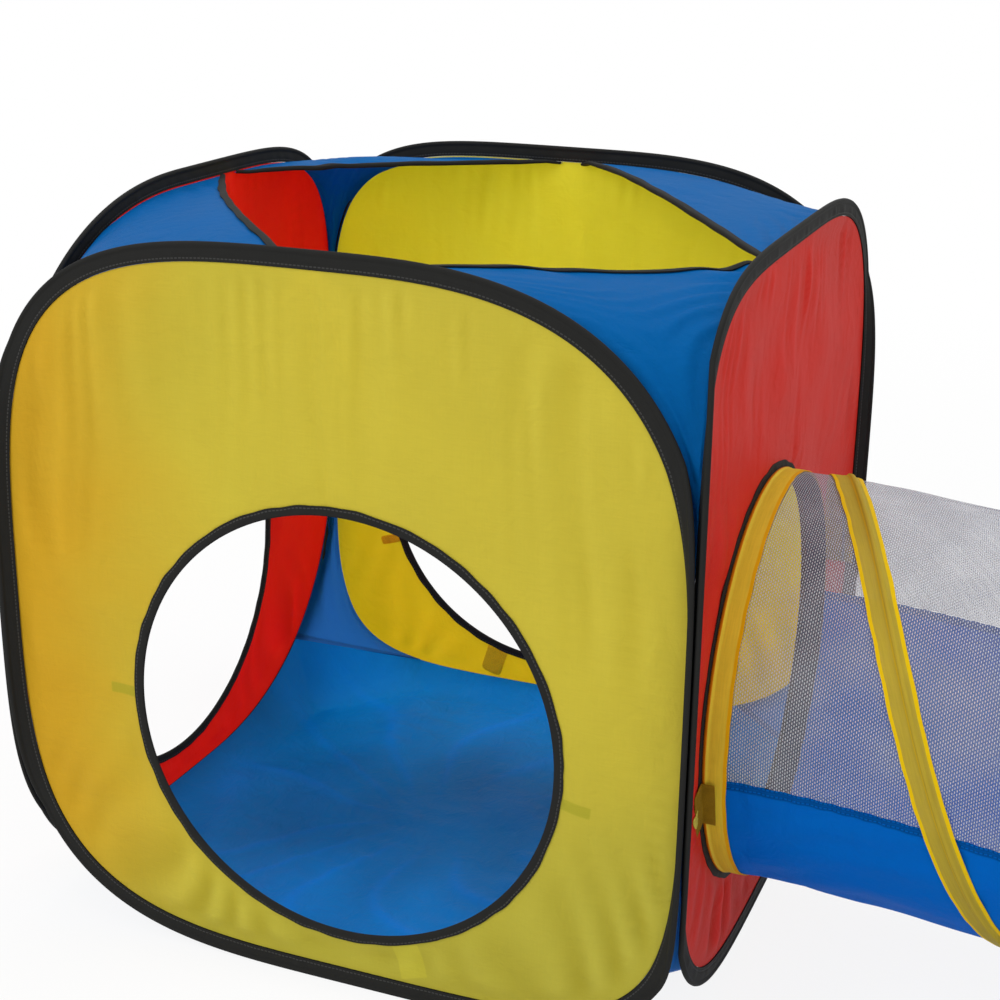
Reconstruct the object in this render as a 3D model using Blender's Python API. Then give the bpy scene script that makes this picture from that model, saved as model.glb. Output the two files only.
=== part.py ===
"""A pop-up play tent: a fabric cube on four spring-wire hoops, with a crawl tunnel on its right side.

Metres, +Z up. The origin lies on the ground under the middle of the cube, the front panel faces -Y
and the tunnel runs along +X. Sheets of fabric are thicker here than the real taffeta.
"""

import math

import bmesh
import bpy
from mathutils import Matrix, Vector

# Cube
SIDE = 0.730                 # from one upright seam to the next, the same on all four sides
HEIGHT = 0.730               # from the bottom seam of a panel to its top seam
SLEEVE = 0.020               # black hoop sleeve, from the seam to its outer edge
FABRIC = 0.0010              # thickness of every fabric sheet
TAPE = 0.0008                # thickness of the black and yellow tapes
HOOP_WIRE = 0.0030           # diameter of the spring-steel wires
OPENING_RADIUS = 0.227       # cut edge of the round openings
OPENING_HEIGHT = 0.289       # middle of the openings above the ground
TUNNEL_OPENING_RADIUS = 0.205   # the same two for the right panel's opening, which the tunnel's ring
TUNNEL_OPENING_HEIGHT = 0.315   # draws in and upwards
BINDING = 0.010              # width of the black tape round the openings
TAB_LENGTH = 0.030           # hook-and-loop tabs beside the openings
TAB_WIDTH = 0.012
TAB_THICKNESS = 0.0012       # also of the wide tabs
FOOT_TAB_WIDTH = 0.030       # the wider tab from an opening down to the bottom seam
FOOT_TAB_MARGIN = 0.002      # from the wide tab's lower corner to the bottom seam
FOOT_TAB_SWING = math.radians(17)   # how far round from straight down the wide tab sits
FLOOR_CORNER_CUT = 0.130     # how far from a corner the floor sheet gives way to a lower gusset
FLOOR_RISE_WIDTH = 0.070     # strip along the floor's edge that climbs from the ground to the seam
GUSSET_SETBACK = 0.0008      # how far inside the seam a gusset's edge lies on the panel's inner face
GUSSET_START = 0.008         # how far two upright seams have parted where a gusset starts
ROOF_TAPE = 0.006            # width of the black edge tape round the roof's opening
ROOF_TAPE_END = 0.030        # share of a roof edge that its tape leaves bare at each end
ROOF_END_GAP = 0.012         # half the space between two gussets where they meet at a panel's top

# Tunnel
TUNNEL_OVERLAP = 0.005       # how far the tunnel's net and fabric lie outside its opening's cut edge
TUNNEL_LENGTH = 1.200        # from the near ring's outer edge to the far ring's outer edge
RING_TAPE = 0.024            # width of the yellow casing on each end ring
COIL_TAPE = 0.028            # width of the yellow casing along the spiral
COIL_WIRE = 0.0030           # diameter of the spiral and ring wires
COIL_TURNS = 2.375
COIL_RAMP = 0.25             # turns over which the spiral peels away from each end ring
TUNNEL_DROP_LENGTH = 0.90    # length over which the tunnel comes down from the opening to the ground
TUNNEL_LIFT = 0.0005         # lowest tape of the tunnel above the ground
STRAP_WIDTH = 0.050          # straps that hold the near ring to the right panel's tabs
STRAP_SEWN = 0.014           # the part of a strap that is sewn on the ring's casing
STRAP_LENGTH = 0.022         # the part of a strap that lies on its tab
STRAP_THICKNESS = 0.0012
COIL_START = 0.004           # from an end ring's casing to the edge of the spiral's tape
COIL_TURN = math.radians(285)  # where the spiral leaves the near ring, from the top towards the near side
HEM_NEAR = math.radians(97)   # from the top of the tunnel to the blue fabric's hem on the near side
HEM_FAR = math.radians(274)    # from the top, the same way round, to its hem on the far side

# Clearances and seats
GAP = 0.0003                 # between pieces that touch
SLOT_PLAY = 0.0003           # on each side of a fabric edge inside its tape
WIRE_PLAY = 0.0005           # all round a wire inside its tape
SKIN_TUCK = 0.0006           # how far a panel's fabric runs past its seam into the sleeve
SLEEVE_MOUTH = 0.0010        # where the sleeve's mouth starts, past the seam
FIN_TURN = math.radians(52)  # how far the sleeves of two neighbours turn outwards where they meet
FRONT_RIGHT_LEAN = math.radians(16)  # how far that pair leans towards the front at the front right corner
FIN_UNWIND = 0.030           # set-back from the corner over which a sleeve turns into its panel's plane
BULB_START = math.radians(22)   # where a tape's leg runs into the bulb that holds a wire

# Faceting
HOOP_STEPS = 32
TUNNEL_STEPS = 24
TUNNEL_STATIONS = 14
WIRE_SIDES = 5
BULB_POINTS = 5
GUSSET_ROWS = 10
GUSSET_COLUMNS = 2
FLOOR_EDGE_STEPS = 8

# Each panel: quarter turns from the front, how square its hoop stands at each corner (2 is fully round,
# counted from the top right), how far its opening and the roof's corner lie from its middle, and how
# many degrees below level its tabs at three and nine o'clock sit. The hoops are racked by hand when the
# tent is set up, so no two corners are alike.
PANELS = {
    "front": dict(turn=0, corners=(2.95, 3.65, 3.45, 5.0), opening=0.011, roof_corner=-0.011, tabs=(7, 0)),
    "right": dict(turn=1, corners=(3.65, 5.6, 3.9, 3.7), opening=-0.105, roof_corner=-0.150, tabs=(15, 15)),
    "back": dict(turn=2, corners=(4.8, 3.3, 3.7, 5.5), opening=0.042, roof_corner=0.020, tabs=(20, 7)),
    "left": dict(turn=3, corners=(2.4, 5.6, 2.3, 3.85), opening=0.060, roof_corner=-0.100, tabs=(0, 0)),
}
NEIGHBOURS = (("front", "right"), ("right", "back"), ("back", "left"), ("left", "front"))
SKIN_COLOURS = {
    "front": "yellow_fabric",
    "back": "yellow_fabric",
    "left": "red_fabric",
    "right": "red_fabric",
}

# Sizes that follow for the cube
HALF = SIDE / 2
HALF_HEIGHT = HEIGHT / 2
MIDDLE = SLEEVE + HALF_HEIGHT
SLOT = FABRIC / 2 + SLOT_PLAY
LEG = SLOT + TAPE
BULB_STEP = 2 * (math.pi - BULB_START) / (BULB_POINTS - 1)
BULB_HOLE = HOOP_WIRE / 2 / math.cos(BULB_STEP / 2) + WIRE_PLAY
BULB = BULB_HOLE + TAPE
WIRE_REACH = SLEEVE - BULB
CORNER_SET = math.sqrt(2) * (LEG + GAP)
SEAM_WIDE = HALF - CORNER_SET
TAB_START = BINDING - TAPE    # from an opening's cut edge to the tabs beside it
GUSSET_STANDOFF = FABRIC / 2 + GAP + FABRIC / 2 + GAP
FLOOR_SEAM_GAP = FABRIC + GAP

# Upright axes the panels fold about: the inner corner of two neighbours, or the tips of their sleeves
CLOSING_HINGE = Vector((HALF - FABRIC / 2, FABRIC / 2 - HALF, 0))
SLEEVE_TIPS = SLEEVE * math.cos(math.radians(45))
OPENING_HINGE = Vector((HALF + SLEEVE_TIPS, HALF + SLEEVE_TIPS, 0))

# Sizes that follow for the tunnel
TUNNEL_START = HALF + LEG + GAP
TUNNEL_END = TUNNEL_START + TUNNEL_LENGTH
TUNNEL_Y = PANELS["right"]["opening"]
TUNNEL_RADIUS = TUNNEL_OPENING_RADIUS + TUNNEL_OVERLAP
SKIN_MIDDLE = TUNNEL_RADIUS - FABRIC / 2
COIL_FLOOR = TUNNEL_RADIUS + GAP
COIL_CROWN = COIL_FLOOR + COIL_WIRE + SLOT_PLAY + TAPE
RING_HOLE = COIL_WIRE / 2 / math.cos(BULB_STEP / 2) + WIRE_PLAY
RING_BULB = RING_HOLE + TAPE
NET_START = TUNNEL_START + RING_TAPE + GAP
NET_END = TUNNEL_END - RING_TAPE - GAP

MATERIALS = {
    "yellow_fabric": ((0.78, 0.68, 0.05), 0.62, 0.0),
    "red_fabric": ((0.62, 0.035, 0.03), 0.62, 0.0),
    "blue_fabric": ((0.01, 0.15, 0.52), 0.55, 0.0),
    "black_tape": ((0.018, 0.018, 0.02), 0.8, 0.0),
    "yellow_tape": ((0.80, 0.60, 0.03), 0.6, 0.0),
    "netting": ((0.82, 0.84, 0.86), 0.7, 0.0),
    "spring_steel": ((0.55, 0.55, 0.57), 0.35, 1.0),
    "hook_and_loop": ((0.60, 0.56, 0.10), 0.9, 0.0),
    "dark_hook_and_loop": ((0.10, 0.07, 0.05), 0.9, 0.0),
}


def clear_scene():
    for item in list(bpy.data.objects):
        bpy.data.objects.remove(item, do_unlink=True)


def material(name):
    found = bpy.data.materials.get(name)
    if found:
        return found
    colour, roughness, metallic = MATERIALS[name]
    made = bpy.data.materials.new(name)
    made.use_nodes = True
    shader = made.node_tree.nodes["Principled BSDF"]
    shader.inputs["Base Color"].default_value = (*colour, 1)
    shader.inputs["Roughness"].default_value = roughness
    shader.inputs["Metallic"].default_value = metallic
    return made


def body_empty(name, place):
    """An empty on a joint's axis, which the pieces of one moving body hang from."""
    empty = bpy.data.objects.new(name, None)
    empty.location = place
    bpy.context.scene.collection.objects.link(empty)
    return empty


def add_piece(name, shape, finish, body):
    """Makes one object from a bmesh in world coordinates and hangs it from its body's empty."""
    bmesh.ops.recalc_face_normals(shape, faces=shape.faces)
    mesh = bpy.data.meshes.new(name)
    shape.to_mesh(mesh)
    shape.free()
    mesh.shade_smooth()
    mesh.set_sharp_from_angle(angle=math.radians(40))
    mesh.materials.append(material(finish))
    piece = bpy.data.objects.new(name, mesh)
    bpy.context.scene.collection.objects.link(piece)
    if body is not None:
        piece.parent = body
        piece.matrix_parent_inverse = Matrix.Translation(body.location).inverted()
    return piece


def loft(rings, closed, across=None):
    """Joins rings of points, each a closed section, into one skin. An open run gets a cap at each end.

    Across gives each point of a section its place across a thin sheet. Both faces of the sheet are then
    split along the same diagonals, so that they can't cross where the sheet twists.
    """
    shape = bmesh.new()
    made = [[shape.verts.new(point) for point in ring] for ring in rings]
    count = len(made)
    for i in range(count if closed else count - 1):
        here, after = made[i], made[(i + 1) % count]
        for j in range(len(here)):
            k = (j + 1) % len(here)
            if across is None:
                shape.faces.new((here[j], here[k], after[k], after[j]))
            elif across[j] <= across[k]:
                shape.faces.new((here[j], here[k], after[k]))
                shape.faces.new((here[j], after[k], after[j]))
            else:
                shape.faces.new((here[j], here[k], after[j]))
                shape.faces.new((here[k], after[k], after[j]))
    if not closed:
        shape.faces.new(made[0])
        shape.faces.new(made[-1][::-1])
    return shape


def to_world(panel, u, v, w):
    """A point of a panel: u along it to the right as seen from outside, v up from its middle, w outwards."""
    angle = math.radians(90) * PANELS[panel]["turn"]
    x, y = u, -(HALF + w)
    return Vector((
        x * math.cos(angle) - y * math.sin(angle),
        x * math.sin(angle) + y * math.cos(angle),
        MIDDLE + v,
    ))


def seam(panel, angle):
    """The panel's seam curve at this angle: its point (u, v) and its outward direction in the panel."""
    c, s = math.cos(angle), math.sin(angle)
    if c >= 0:
        squareness = PANELS[panel]["corners"][0 if s >= 0 else 3]
    else:
        squareness = PANELS[panel]["corners"][1 if s >= 0 else 2]
    cu = math.copysign(abs(c) ** (2 / squareness), c)
    sv = math.copysign(abs(s) ** (2 / squareness), s)
    out_u = math.copysign(abs(cu) ** (squareness - 1) / SEAM_WIDE, c)
    out_v = math.copysign(abs(sv) ** (squareness - 1) / HALF_HEIGHT, s)
    length = math.hypot(out_u, out_v)
    return SEAM_WIDE * cu, HALF_HEIGHT * sv, out_u / length, out_v / length


def fin_turn(panel, u):
    """How far the sleeve turns out of its panel's plane, from how near its seam is to the corner."""
    fully = FIN_TURN
    if panel == "front" and u > 0:
        fully += FRONT_RIGHT_LEAN
    if panel == "right" and u < 0:
        fully -= FRONT_RIGHT_LEAN
    set_back = SEAM_WIDE - abs(u)
    return fully * max(0.0, 1 - set_back / FIN_UNWIND)


def sleeve_point(panel, angle, reach, side):
    """A point of the sleeve: reach outwards from the seam, side across its thickness."""
    u, v, out_u, out_v = seam(panel, angle)
    turn = fin_turn(panel, u)
    reach_in_plane = reach * math.cos(turn) - side * math.sin(turn)
    reach_outwards = reach * math.sin(turn) + side * math.cos(turn)
    return to_world(panel, u + out_u * reach_in_plane, v + out_v * reach_in_plane, reach_outwards)


def hoop_angles():
    return [2 * math.pi * i / HOOP_STEPS for i in range(HOOP_STEPS)]


def channel_section(mouth, reach, slot, leg, hole, bulb):
    """The folded tape's section as (reach, side) points: two legs, and a bulb round the wire."""
    outer, inner = [], []
    for run, radius, half in ((outer, bulb, leg), (inner, hole, slot)):
        first = math.pi - math.asin(half / radius)
        for i in range(BULB_POINTS):
            swing = first * (1 - 2 * i / (BULB_POINTS - 1))
            run.append((reach + radius * math.cos(swing), radius * math.sin(swing)))
    return [(mouth, leg)] + outer + [(mouth, -leg), (mouth, -slot)] + inner[::-1] + [(mouth, slot)]


def opening_of(panel):
    """The middle (u, v) of the panel's opening, and the radius of its cut edge."""
    height, radius = OPENING_HEIGHT, OPENING_RADIUS
    if panel == "right":
        height, radius = TUNNEL_OPENING_HEIGHT, TUNNEL_OPENING_RADIUS
    return PANELS[panel]["opening"], height - MIDDLE, radius


def opening_point(panel, direction, reach, w):
    """A point this far outside the cut edge of the panel's opening, w outwards from the panel's plane."""
    u, v, radius = opening_of(panel)
    radius += reach
    return to_world(panel, u + radius * math.cos(direction), v + radius * math.sin(direction), w)


def panel_skin(panel, body):
    """The taut fabric between the hoop's seam and the round opening."""
    rings = []
    for angle in hoop_angles():
        u, v, out_u, out_v = seam(panel, angle)
        u += out_u * SKIN_TUCK
        v += out_v * SKIN_TUCK
        rings.append([
            to_world(panel, u, v, FABRIC / 2),
            to_world(panel, u, v, -FABRIC / 2),
            opening_point(panel, angle, 0.0, -FABRIC / 2),
            opening_point(panel, angle, 0.0, FABRIC / 2),
        ])
    add_piece(f"{panel}_panel_skin", loft(rings, True), SKIN_COLOURS[panel], body)


def hoop_sleeve(panel, body):
    section = channel_section(SLEEVE_MOUTH, WIRE_REACH, SLOT, LEG, BULB_HOLE, BULB)
    rings = [[sleeve_point(panel, angle, *point) for point in section] for angle in hoop_angles()]
    across = [reach for reach, side in section]
    add_piece(f"{panel}_hoop_sleeve", loft(rings, True, across), "black_tape", body)


def hoop_wire(panel, body):
    radius = HOOP_WIRE / 2
    turns = [2 * math.pi * i / WIRE_SIDES for i in range(WIRE_SIDES)]
    section = [(WIRE_REACH + radius * math.cos(t), radius * math.sin(t)) for t in turns]
    rings = [[sleeve_point(panel, angle, *point) for point in section] for angle in hoop_angles()]
    add_piece(f"{panel}_hoop_wire", loft(rings, True), "spring_steel", body)


def opening_binding(panel, body):
    """The tape folded over the cut edge of the opening."""
    edge = -GAP
    tip = edge - TAPE
    outer = tip + BINDING
    section = [
        (outer, LEG), (tip, LEG), (tip, -LEG), (outer, -LEG),
        (outer, -SLOT), (edge, -SLOT), (edge, SLOT), (outer, SLOT),
    ]
    rings = [[opening_point(panel, angle, *point) for point in section] for angle in hoop_angles()]
    add_piece(f"{panel}_opening_binding", loft(rings, True), "black_tape", body)


def tab(name, panel, direction, length, width, finish, body, outside):
    """A rounded strip sewn on the panel, pointing away from the opening's middle."""
    corner = width / 4
    near, far = FABRIC / 2 + GAP, FABRIC / 2 + GAP + TAB_THICKNESS
    if not outside:
        near, far = -near, -far
    outline = [
        (0, -width / 2), (length - corner, -width / 2), (length, corner - width / 2),
        (length, width / 2 - corner), (length - corner, width / 2), (0, width / 2),
    ]
    hu, hv, radius = opening_of(panel)
    rings = []
    for w in (near, far):
        ring = []
        for along, across in outline:
            reach = radius + TAB_START + along
            u = hu + reach * math.cos(direction) - across * math.sin(direction)
            v = hv + reach * math.sin(direction) + across * math.cos(direction)
            ring.append(to_world(panel, u, v, w))
        rings.append(ring)
    add_piece(name, loft(rings, False), finish, body)


def panel_tabs(panel, body):
    """The two narrow tabs beside an opening: outside on the right panel for the tunnel, else inside."""
    below_three, below_nine = (math.radians(below) for below in PANELS[panel]["tabs"])
    for place, direction in (("three", -below_three), ("nine", math.pi + below_nine)):
        name = f"{panel}_tab_{place}_oclock"
        tab(name, panel, direction, TAB_LENGTH, TAB_WIDTH, "hook_and_loop", body, panel == "right")


def foot_tab(panel, body):
    """The wide tab that hangs from the opening to the bottom seam, on the front and the back only."""
    direction = math.radians(-90) + FOOT_TAB_SWING
    down = (OPENING_HEIGHT - SLEEVE) / math.cos(FOOT_TAB_SWING)
    corner = FOOT_TAB_WIDTH / 2 * math.tan(FOOT_TAB_SWING)
    length = down - corner - FOOT_TAB_MARGIN - OPENING_RADIUS - TAB_START
    tab(f"{panel}_foot_tab", panel, direction, length, FOOT_TAB_WIDTH, "hook_and_loop", body, False)


def facet_seam(panel, angle):
    """The seam at this angle as the hoop's facets run."""
    step = 2 * math.pi / HOOP_STEPS
    before = math.floor(angle / step) * step
    share = (angle - before) / step
    here, after = seam(panel, before), seam(panel, before + step)
    return [a + (b - a) * share for a, b in zip(here, after)]


def gusset_edge(panel, angle):
    """Where a gusset meets this panel: just inside its skin, on the seam."""
    u, v, out_u, out_v = facet_seam(panel, angle)
    back = GUSSET_SETBACK
    return to_world(panel, u - out_u * back, v - out_v * back, -GUSSET_STANDOFF)


def halved(low, high, is_low):
    """The value between low and high at which is_low stops holding."""
    for _ in range(40):
        middle = (low + high) / 2
        if is_low(middle):
            low = middle
        else:
            high = middle
    return high


def angle_at(panel, u, upper):
    """The seam angle whose point lies at this u on the panel's upper or lower edge."""
    corners = PANELS[panel]["corners"]
    if upper:
        squareness = corners[0] if u >= 0 else corners[1]
    else:
        squareness = corners[3] if u >= 0 else corners[2]
    base = math.acos((abs(u) / SEAM_WIDE) ** (squareness / 2))
    base = base if u >= 0 else math.pi - base
    return base if upper else -base


def side_angle(panel, right_side, upper, rise):
    """The seam angle of the point this far above or below the middle of the panel's right or left side."""
    def turned(base):
        base = base if right_side else math.pi - base
        return base if upper else -base
    return turned(halved(0.0, math.pi / 2, lambda base: abs(facet_seam(panel, turned(base))[1]) < rise))


def start_angles(first, second, upper):
    """The two seams' angles at the level where they have parted far enough for a gusset to start."""
    def angles_at(rise):
        return side_angle(first, True, upper, rise), side_angle(second, False, upper, rise)

    def too_close(rise):
        reaches = [abs(facet_seam(panel, angle)[0]) for panel, angle in zip((first, second), angles_at(rise))]
        return 2 * SEAM_WIDE - sum(reaches) < GUSSET_START
    return angles_at(halved(0.0, HALF_HEIGHT, too_close))


def sheet_between(left_run, right_run, columns, thickness):
    """A sheet of straight threads between two runs of points, with its wall laid to both sides."""
    rows = len(left_run)
    grid = [
        [left_run[i].lerp(right_run[i], j / columns) for j in range(columns + 1)]
        for i in range(rows)
    ]
    normals = []
    for i in range(rows):
        row = []
        for j in range(columns + 1):
            along = grid[min(i + 1, rows - 1)][j] - grid[max(i - 1, 0)][j]
            across = grid[i][min(j + 1, columns)] - grid[i][max(j - 1, 0)]
            row.append(along.cross(across).normalized())
        normals.append(row)
    rings = []
    for i in range(rows):
        front = [grid[i][j] + normals[i][j] * thickness / 2 for j in range(columns + 1)]
        rear = [grid[i][j] - normals[i][j] * thickness / 2 for j in range(columns, -1, -1)]
        rings.append(front + rear)
    across = list(range(columns + 1)) + list(range(columns, -1, -1))
    return loft(rings, False, across)


def corner_runs(first, second, upper, first_end, second_end):
    """The two seams of a corner gusset, from the upright seam to where the gusset ends."""
    first_start, second_start = start_angles(first, second, upper)
    first_run, second_run = [], []
    for i in range(GUSSET_ROWS + 1):
        share = i / GUSSET_ROWS
        first_run.append(gusset_edge(first, first_start + (first_end - first_start) * share))
        second_run.append(gusset_edge(second, second_start + (second_end - second_start) * share))
    return first_run, second_run


def roof_gusset(first, second, body):
    """A blue corner of the roof, from the upright seam up and over to the edge of the roof's opening."""
    first_end = angle_at(first, PANELS[first]["roof_corner"] + ROOF_END_GAP, True)
    second_end = angle_at(second, PANELS[second]["roof_corner"] - ROOF_END_GAP, True)
    first_run, second_run = corner_runs(first, second, True, first_end, second_end)
    shape = sheet_between(first_run, second_run, GUSSET_COLUMNS, FABRIC)
    add_piece(f"roof_gusset_{first}_{second}", shape, "blue_fabric", body)
    roof_tape(first, second, first_run[-2:], second_run[-2:], body)


def roof_tape(first, second, first_pair, second_pair, body):
    """The black tape folded over a roof gusset's free edge."""
    mouth, edge, tip = TAPE + GAP - ROOF_TAPE, GAP, GAP + TAPE
    section = [
        (mouth, LEG), (tip, LEG), (tip, -LEG), (mouth, -LEG),
        (mouth, -SLOT), (edge, -SLOT), (edge, SLOT), (mouth, SLOT),
    ]
    run = (second_pair[1] - first_pair[1]).normalized()
    rings = []
    for share in (ROOF_TAPE_END, 0.5, 1 - ROOF_TAPE_END):
        before = first_pair[0].lerp(second_pair[0], share)
        place = first_pair[1].lerp(second_pair[1], share)
        ahead = place - before
        ahead = (ahead - run * ahead.dot(run)).normalized()
        across = run.cross(ahead)
        rings.append([place + ahead * a + across * b for a, b in section])
    add_piece(f"roof_edge_tape_{first}_{second}", loft(rings, False), "black_tape", body)


def floor_end(panel, right_side):
    u = HALF - FLOOR_CORNER_CUT
    return angle_at(panel, u if right_side else -u, False)


def floor_gusset(first, second, body):
    """A blue corner from the upright seam down to the floor sheet."""
    first_end, second_end = floor_end(first, True), floor_end(second, False)
    first_run, second_run = corner_runs(first, second, False, first_end, second_end)
    shape = sheet_between(first_run, second_run, GUSSET_COLUMNS, FABRIC)
    add_piece(f"floor_gusset_{first}_{second}", shape, "blue_fabric", body)


def floor_outline():
    """The floor sheet's edge: along each panel's bottom seam, and straight across under each gusset."""
    outline = []
    for first, second in NEIGHBOURS:
        start, end = floor_end(first, False), floor_end(first, True)
        for i in range(FLOOR_EDGE_STEPS + 1):
            outline.append(gusset_edge(first, start + (end - start) * i / FLOOR_EDGE_STEPS))
        near, far = outline[-1], gusset_edge(second, floor_end(second, False))
        outline += [near.lerp(far, 1 / 3), near.lerp(far, 2 / 3)]
    return outline


def floor_sheet(body):
    """The floor lies flat on the ground and climbs to the bottom seams along its edge."""
    outline = floor_outline()
    rings = []
    for inset in (0.0, 0.2, 0.5, 1.0):
        ring = []
        for point in outline:
            reach = math.hypot(point.x, point.y)
            shrink = (reach - FLOOR_SEAM_GAP - inset * FLOOR_RISE_WIDTH) / reach
            height = FABRIC / 2 + (point.z - FABRIC / 2) * (1 - inset) ** 2
            ring.append(Vector((point.x * shrink, point.y * shrink, height)))
        rings.append(ring)
    shape = bmesh.new()
    top = [[shape.verts.new(p + Vector((0, 0, FABRIC / 2))) for p in ring] for ring in rings]
    low = [[shape.verts.new(p - Vector((0, 0, FABRIC / 2))) for p in ring] for ring in rings]
    count = len(outline)
    for i in range(count):
        j = (i + 1) % count
        for k in range(len(rings) - 1):
            shape.faces.new((top[k][i], top[k][j], top[k + 1][j]))
            shape.faces.new((top[k][i], top[k + 1][j], top[k + 1][i]))
            shape.faces.new((low[k][i], low[k + 1][j], low[k][j]))
            shape.faces.new((low[k][i], low[k + 1][i], low[k + 1][j]))
        shape.faces.new((low[0][i], low[0][j], top[0][j], top[0][i]))
    shape.faces.new(top[-1])
    shape.faces.new(low[-1][::-1])
    add_piece("floor_sheet", shape, "blue_fabric", body)


def station(index):
    """Where along X the tunnel's cloth has its facets' edges."""
    return NET_START + (NET_END - NET_START) * index / TUNNEL_STATIONS


def ease(share):
    share = min(max(share, 0.0), 1.0)
    return share * share * (3 - 2 * share)


def tunnel_height(x):
    """Height of the tunnel's middle: it comes down from the opening until its tape lies on the ground."""
    low = TUNNEL_LIFT + COIL_CROWN
    place = (x - NET_START) / (NET_END - NET_START) * TUNNEL_STATIONS
    before = min(max(math.floor(place), 0), TUNNEL_STATIONS - 1)
    heights = [
        low + (TUNNEL_OPENING_HEIGHT - low) * (1 - ease((station(i) - NET_START) / TUNNEL_DROP_LENGTH))
        for i in (before, before + 1)
    ]
    share = min(max(place - before, 0.0), 1.0)
    return heights[0] + (heights[1] - heights[0]) * share


def tunnel_point(x, turn, radius):
    """A point of the tunnel: turn is the angle from the top towards the near side."""
    return Vector((x, TUNNEL_Y - radius * math.sin(turn), tunnel_height(x) + radius * math.cos(turn)))


def tunnel_turns():
    return [2 * math.pi * i / TUNNEL_STEPS for i in range(TUNNEL_STEPS)]


def end_ring(name, edge, inward, body):
    """A ring wire in its casing. Inward is +1 where the tunnel's cloth lies at +X of the ring, else -1."""
    section = channel_section(0.0, RING_TAPE - RING_BULB, SLOT, LEG, RING_HOLE, RING_BULB)
    mouth = edge + inward * RING_TAPE
    rings = [
        [tunnel_point(mouth - inward * reach, turn, SKIN_MIDDLE + side) for reach, side in section]
        for turn in tunnel_turns()
    ]
    add_piece(f"{name}_ring_casing", loft(rings, True), "yellow_tape", body)
    radius = COIL_WIRE / 2
    middle = edge + inward * RING_BULB
    swings = [2 * math.pi * i / WIRE_SIDES for i in range(WIRE_SIDES)]
    rings = [
        [tunnel_point(middle + radius * math.cos(s), turn, SKIN_MIDDLE + radius * math.sin(s)) for s in swings]
        for turn in tunnel_turns()
    ]
    add_piece(f"{name}_ring_wire", loft(rings, True), "spring_steel", body)


def coil_advance(turns):
    """How far along the spiral is, in turns of full pitch, easing away from each end ring."""
    def eased(amount):
        if amount < COIL_RAMP:
            return amount * amount / (2 * COIL_RAMP)
        return amount - COIL_RAMP / 2
    if turns > COIL_TURNS / 2:
        return 2 * eased(COIL_TURNS / 2) - eased(COIL_TURNS - turns)
    return eased(turns)


def coil_stations():
    """(x, turn) of the spiral's middle line."""
    first = NET_START + COIL_START + COIL_TAPE / 2
    last = NET_END - COIL_START - COIL_TAPE / 2
    count = round(COIL_TURNS * TUNNEL_STEPS)
    found = []
    for i in range(count + 1):
        turns = COIL_TURNS * i / count
        x = first + (last - first) * coil_advance(turns) / coil_advance(COIL_TURNS)
        found.append((x, COIL_TURN + 2 * math.pi * turns))
    return found


def coil(body):
    """The spiral spring and the tape casing that holds it on the outside of the tunnel."""
    half = COIL_TAPE / 2
    shoulder = COIL_WIRE / 2 + SLOT_PLAY
    roof = shoulder + TAPE
    low, crown = COIL_FLOOR + TAPE, COIL_CROWN
    section = [
        (-half, low), (-roof, crown), (roof, crown), (half, low),
        (half, COIL_FLOOR), (shoulder, COIL_FLOOR), (shoulder, crown - TAPE),
        (-shoulder, crown - TAPE), (-shoulder, COIL_FLOOR), (-half, COIL_FLOOR),
    ]
    rings = [
        [tunnel_point(x + along, turn, radius) for along, radius in section]
        for x, turn in coil_stations()
    ]
    add_piece("tunnel_coil_casing", loft(rings, False), "yellow_tape", body)
    radius = COIL_WIRE / 2
    middle = COIL_FLOOR + COIL_WIRE / 2
    swings = [2 * math.pi * i / WIRE_SIDES for i in range(WIRE_SIDES)]
    rings = [
        [tunnel_point(x + radius * math.cos(s), turn, middle + radius * math.sin(s)) for s in swings]
        for x, turn in coil_stations()
    ]
    add_piece("tunnel_coil_wire", loft(rings, False), "spring_steel", body)


def least_coil_gap():
    """The least distance between two turns of the spiral's tape, less its width."""
    points = [tunnel_point(x, turn, COIL_CROWN) for x, turn in coil_stations()]
    least = TUNNEL_LENGTH
    for i in range(len(points)):
        for j in range(i + TUNNEL_STEPS // 2, len(points)):
            least = min(least, (points[i] - points[j]).length)
    return least - COIL_TAPE


def tunnel_cloth(name, first_turn, last_turn, finish, body):
    """One strip of the tunnel's wall, from one hem round to the other, each on the nearest facet's edge."""
    step = 2 * math.pi / TUNNEL_STEPS
    first_step, last_step = round(first_turn / step), round(last_turn / step)
    hem = GAP / TUNNEL_RADIUS
    turns = [first_step * step + hem]
    turns += [i * step for i in range(first_step + 1, last_step)]
    turns.append(last_step * step - hem)
    rings = []
    for index in range(TUNNEL_STATIONS + 1):
        x = station(index)
        outer = [tunnel_point(x, turn, TUNNEL_RADIUS) for turn in turns]
        inner = [tunnel_point(x, turn, TUNNEL_RADIUS - FABRIC) for turn in reversed(turns)]
        rings.append(outer + inner)
    add_piece(name, loft(rings, False, turns + turns[::-1]), finish, body)


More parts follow.
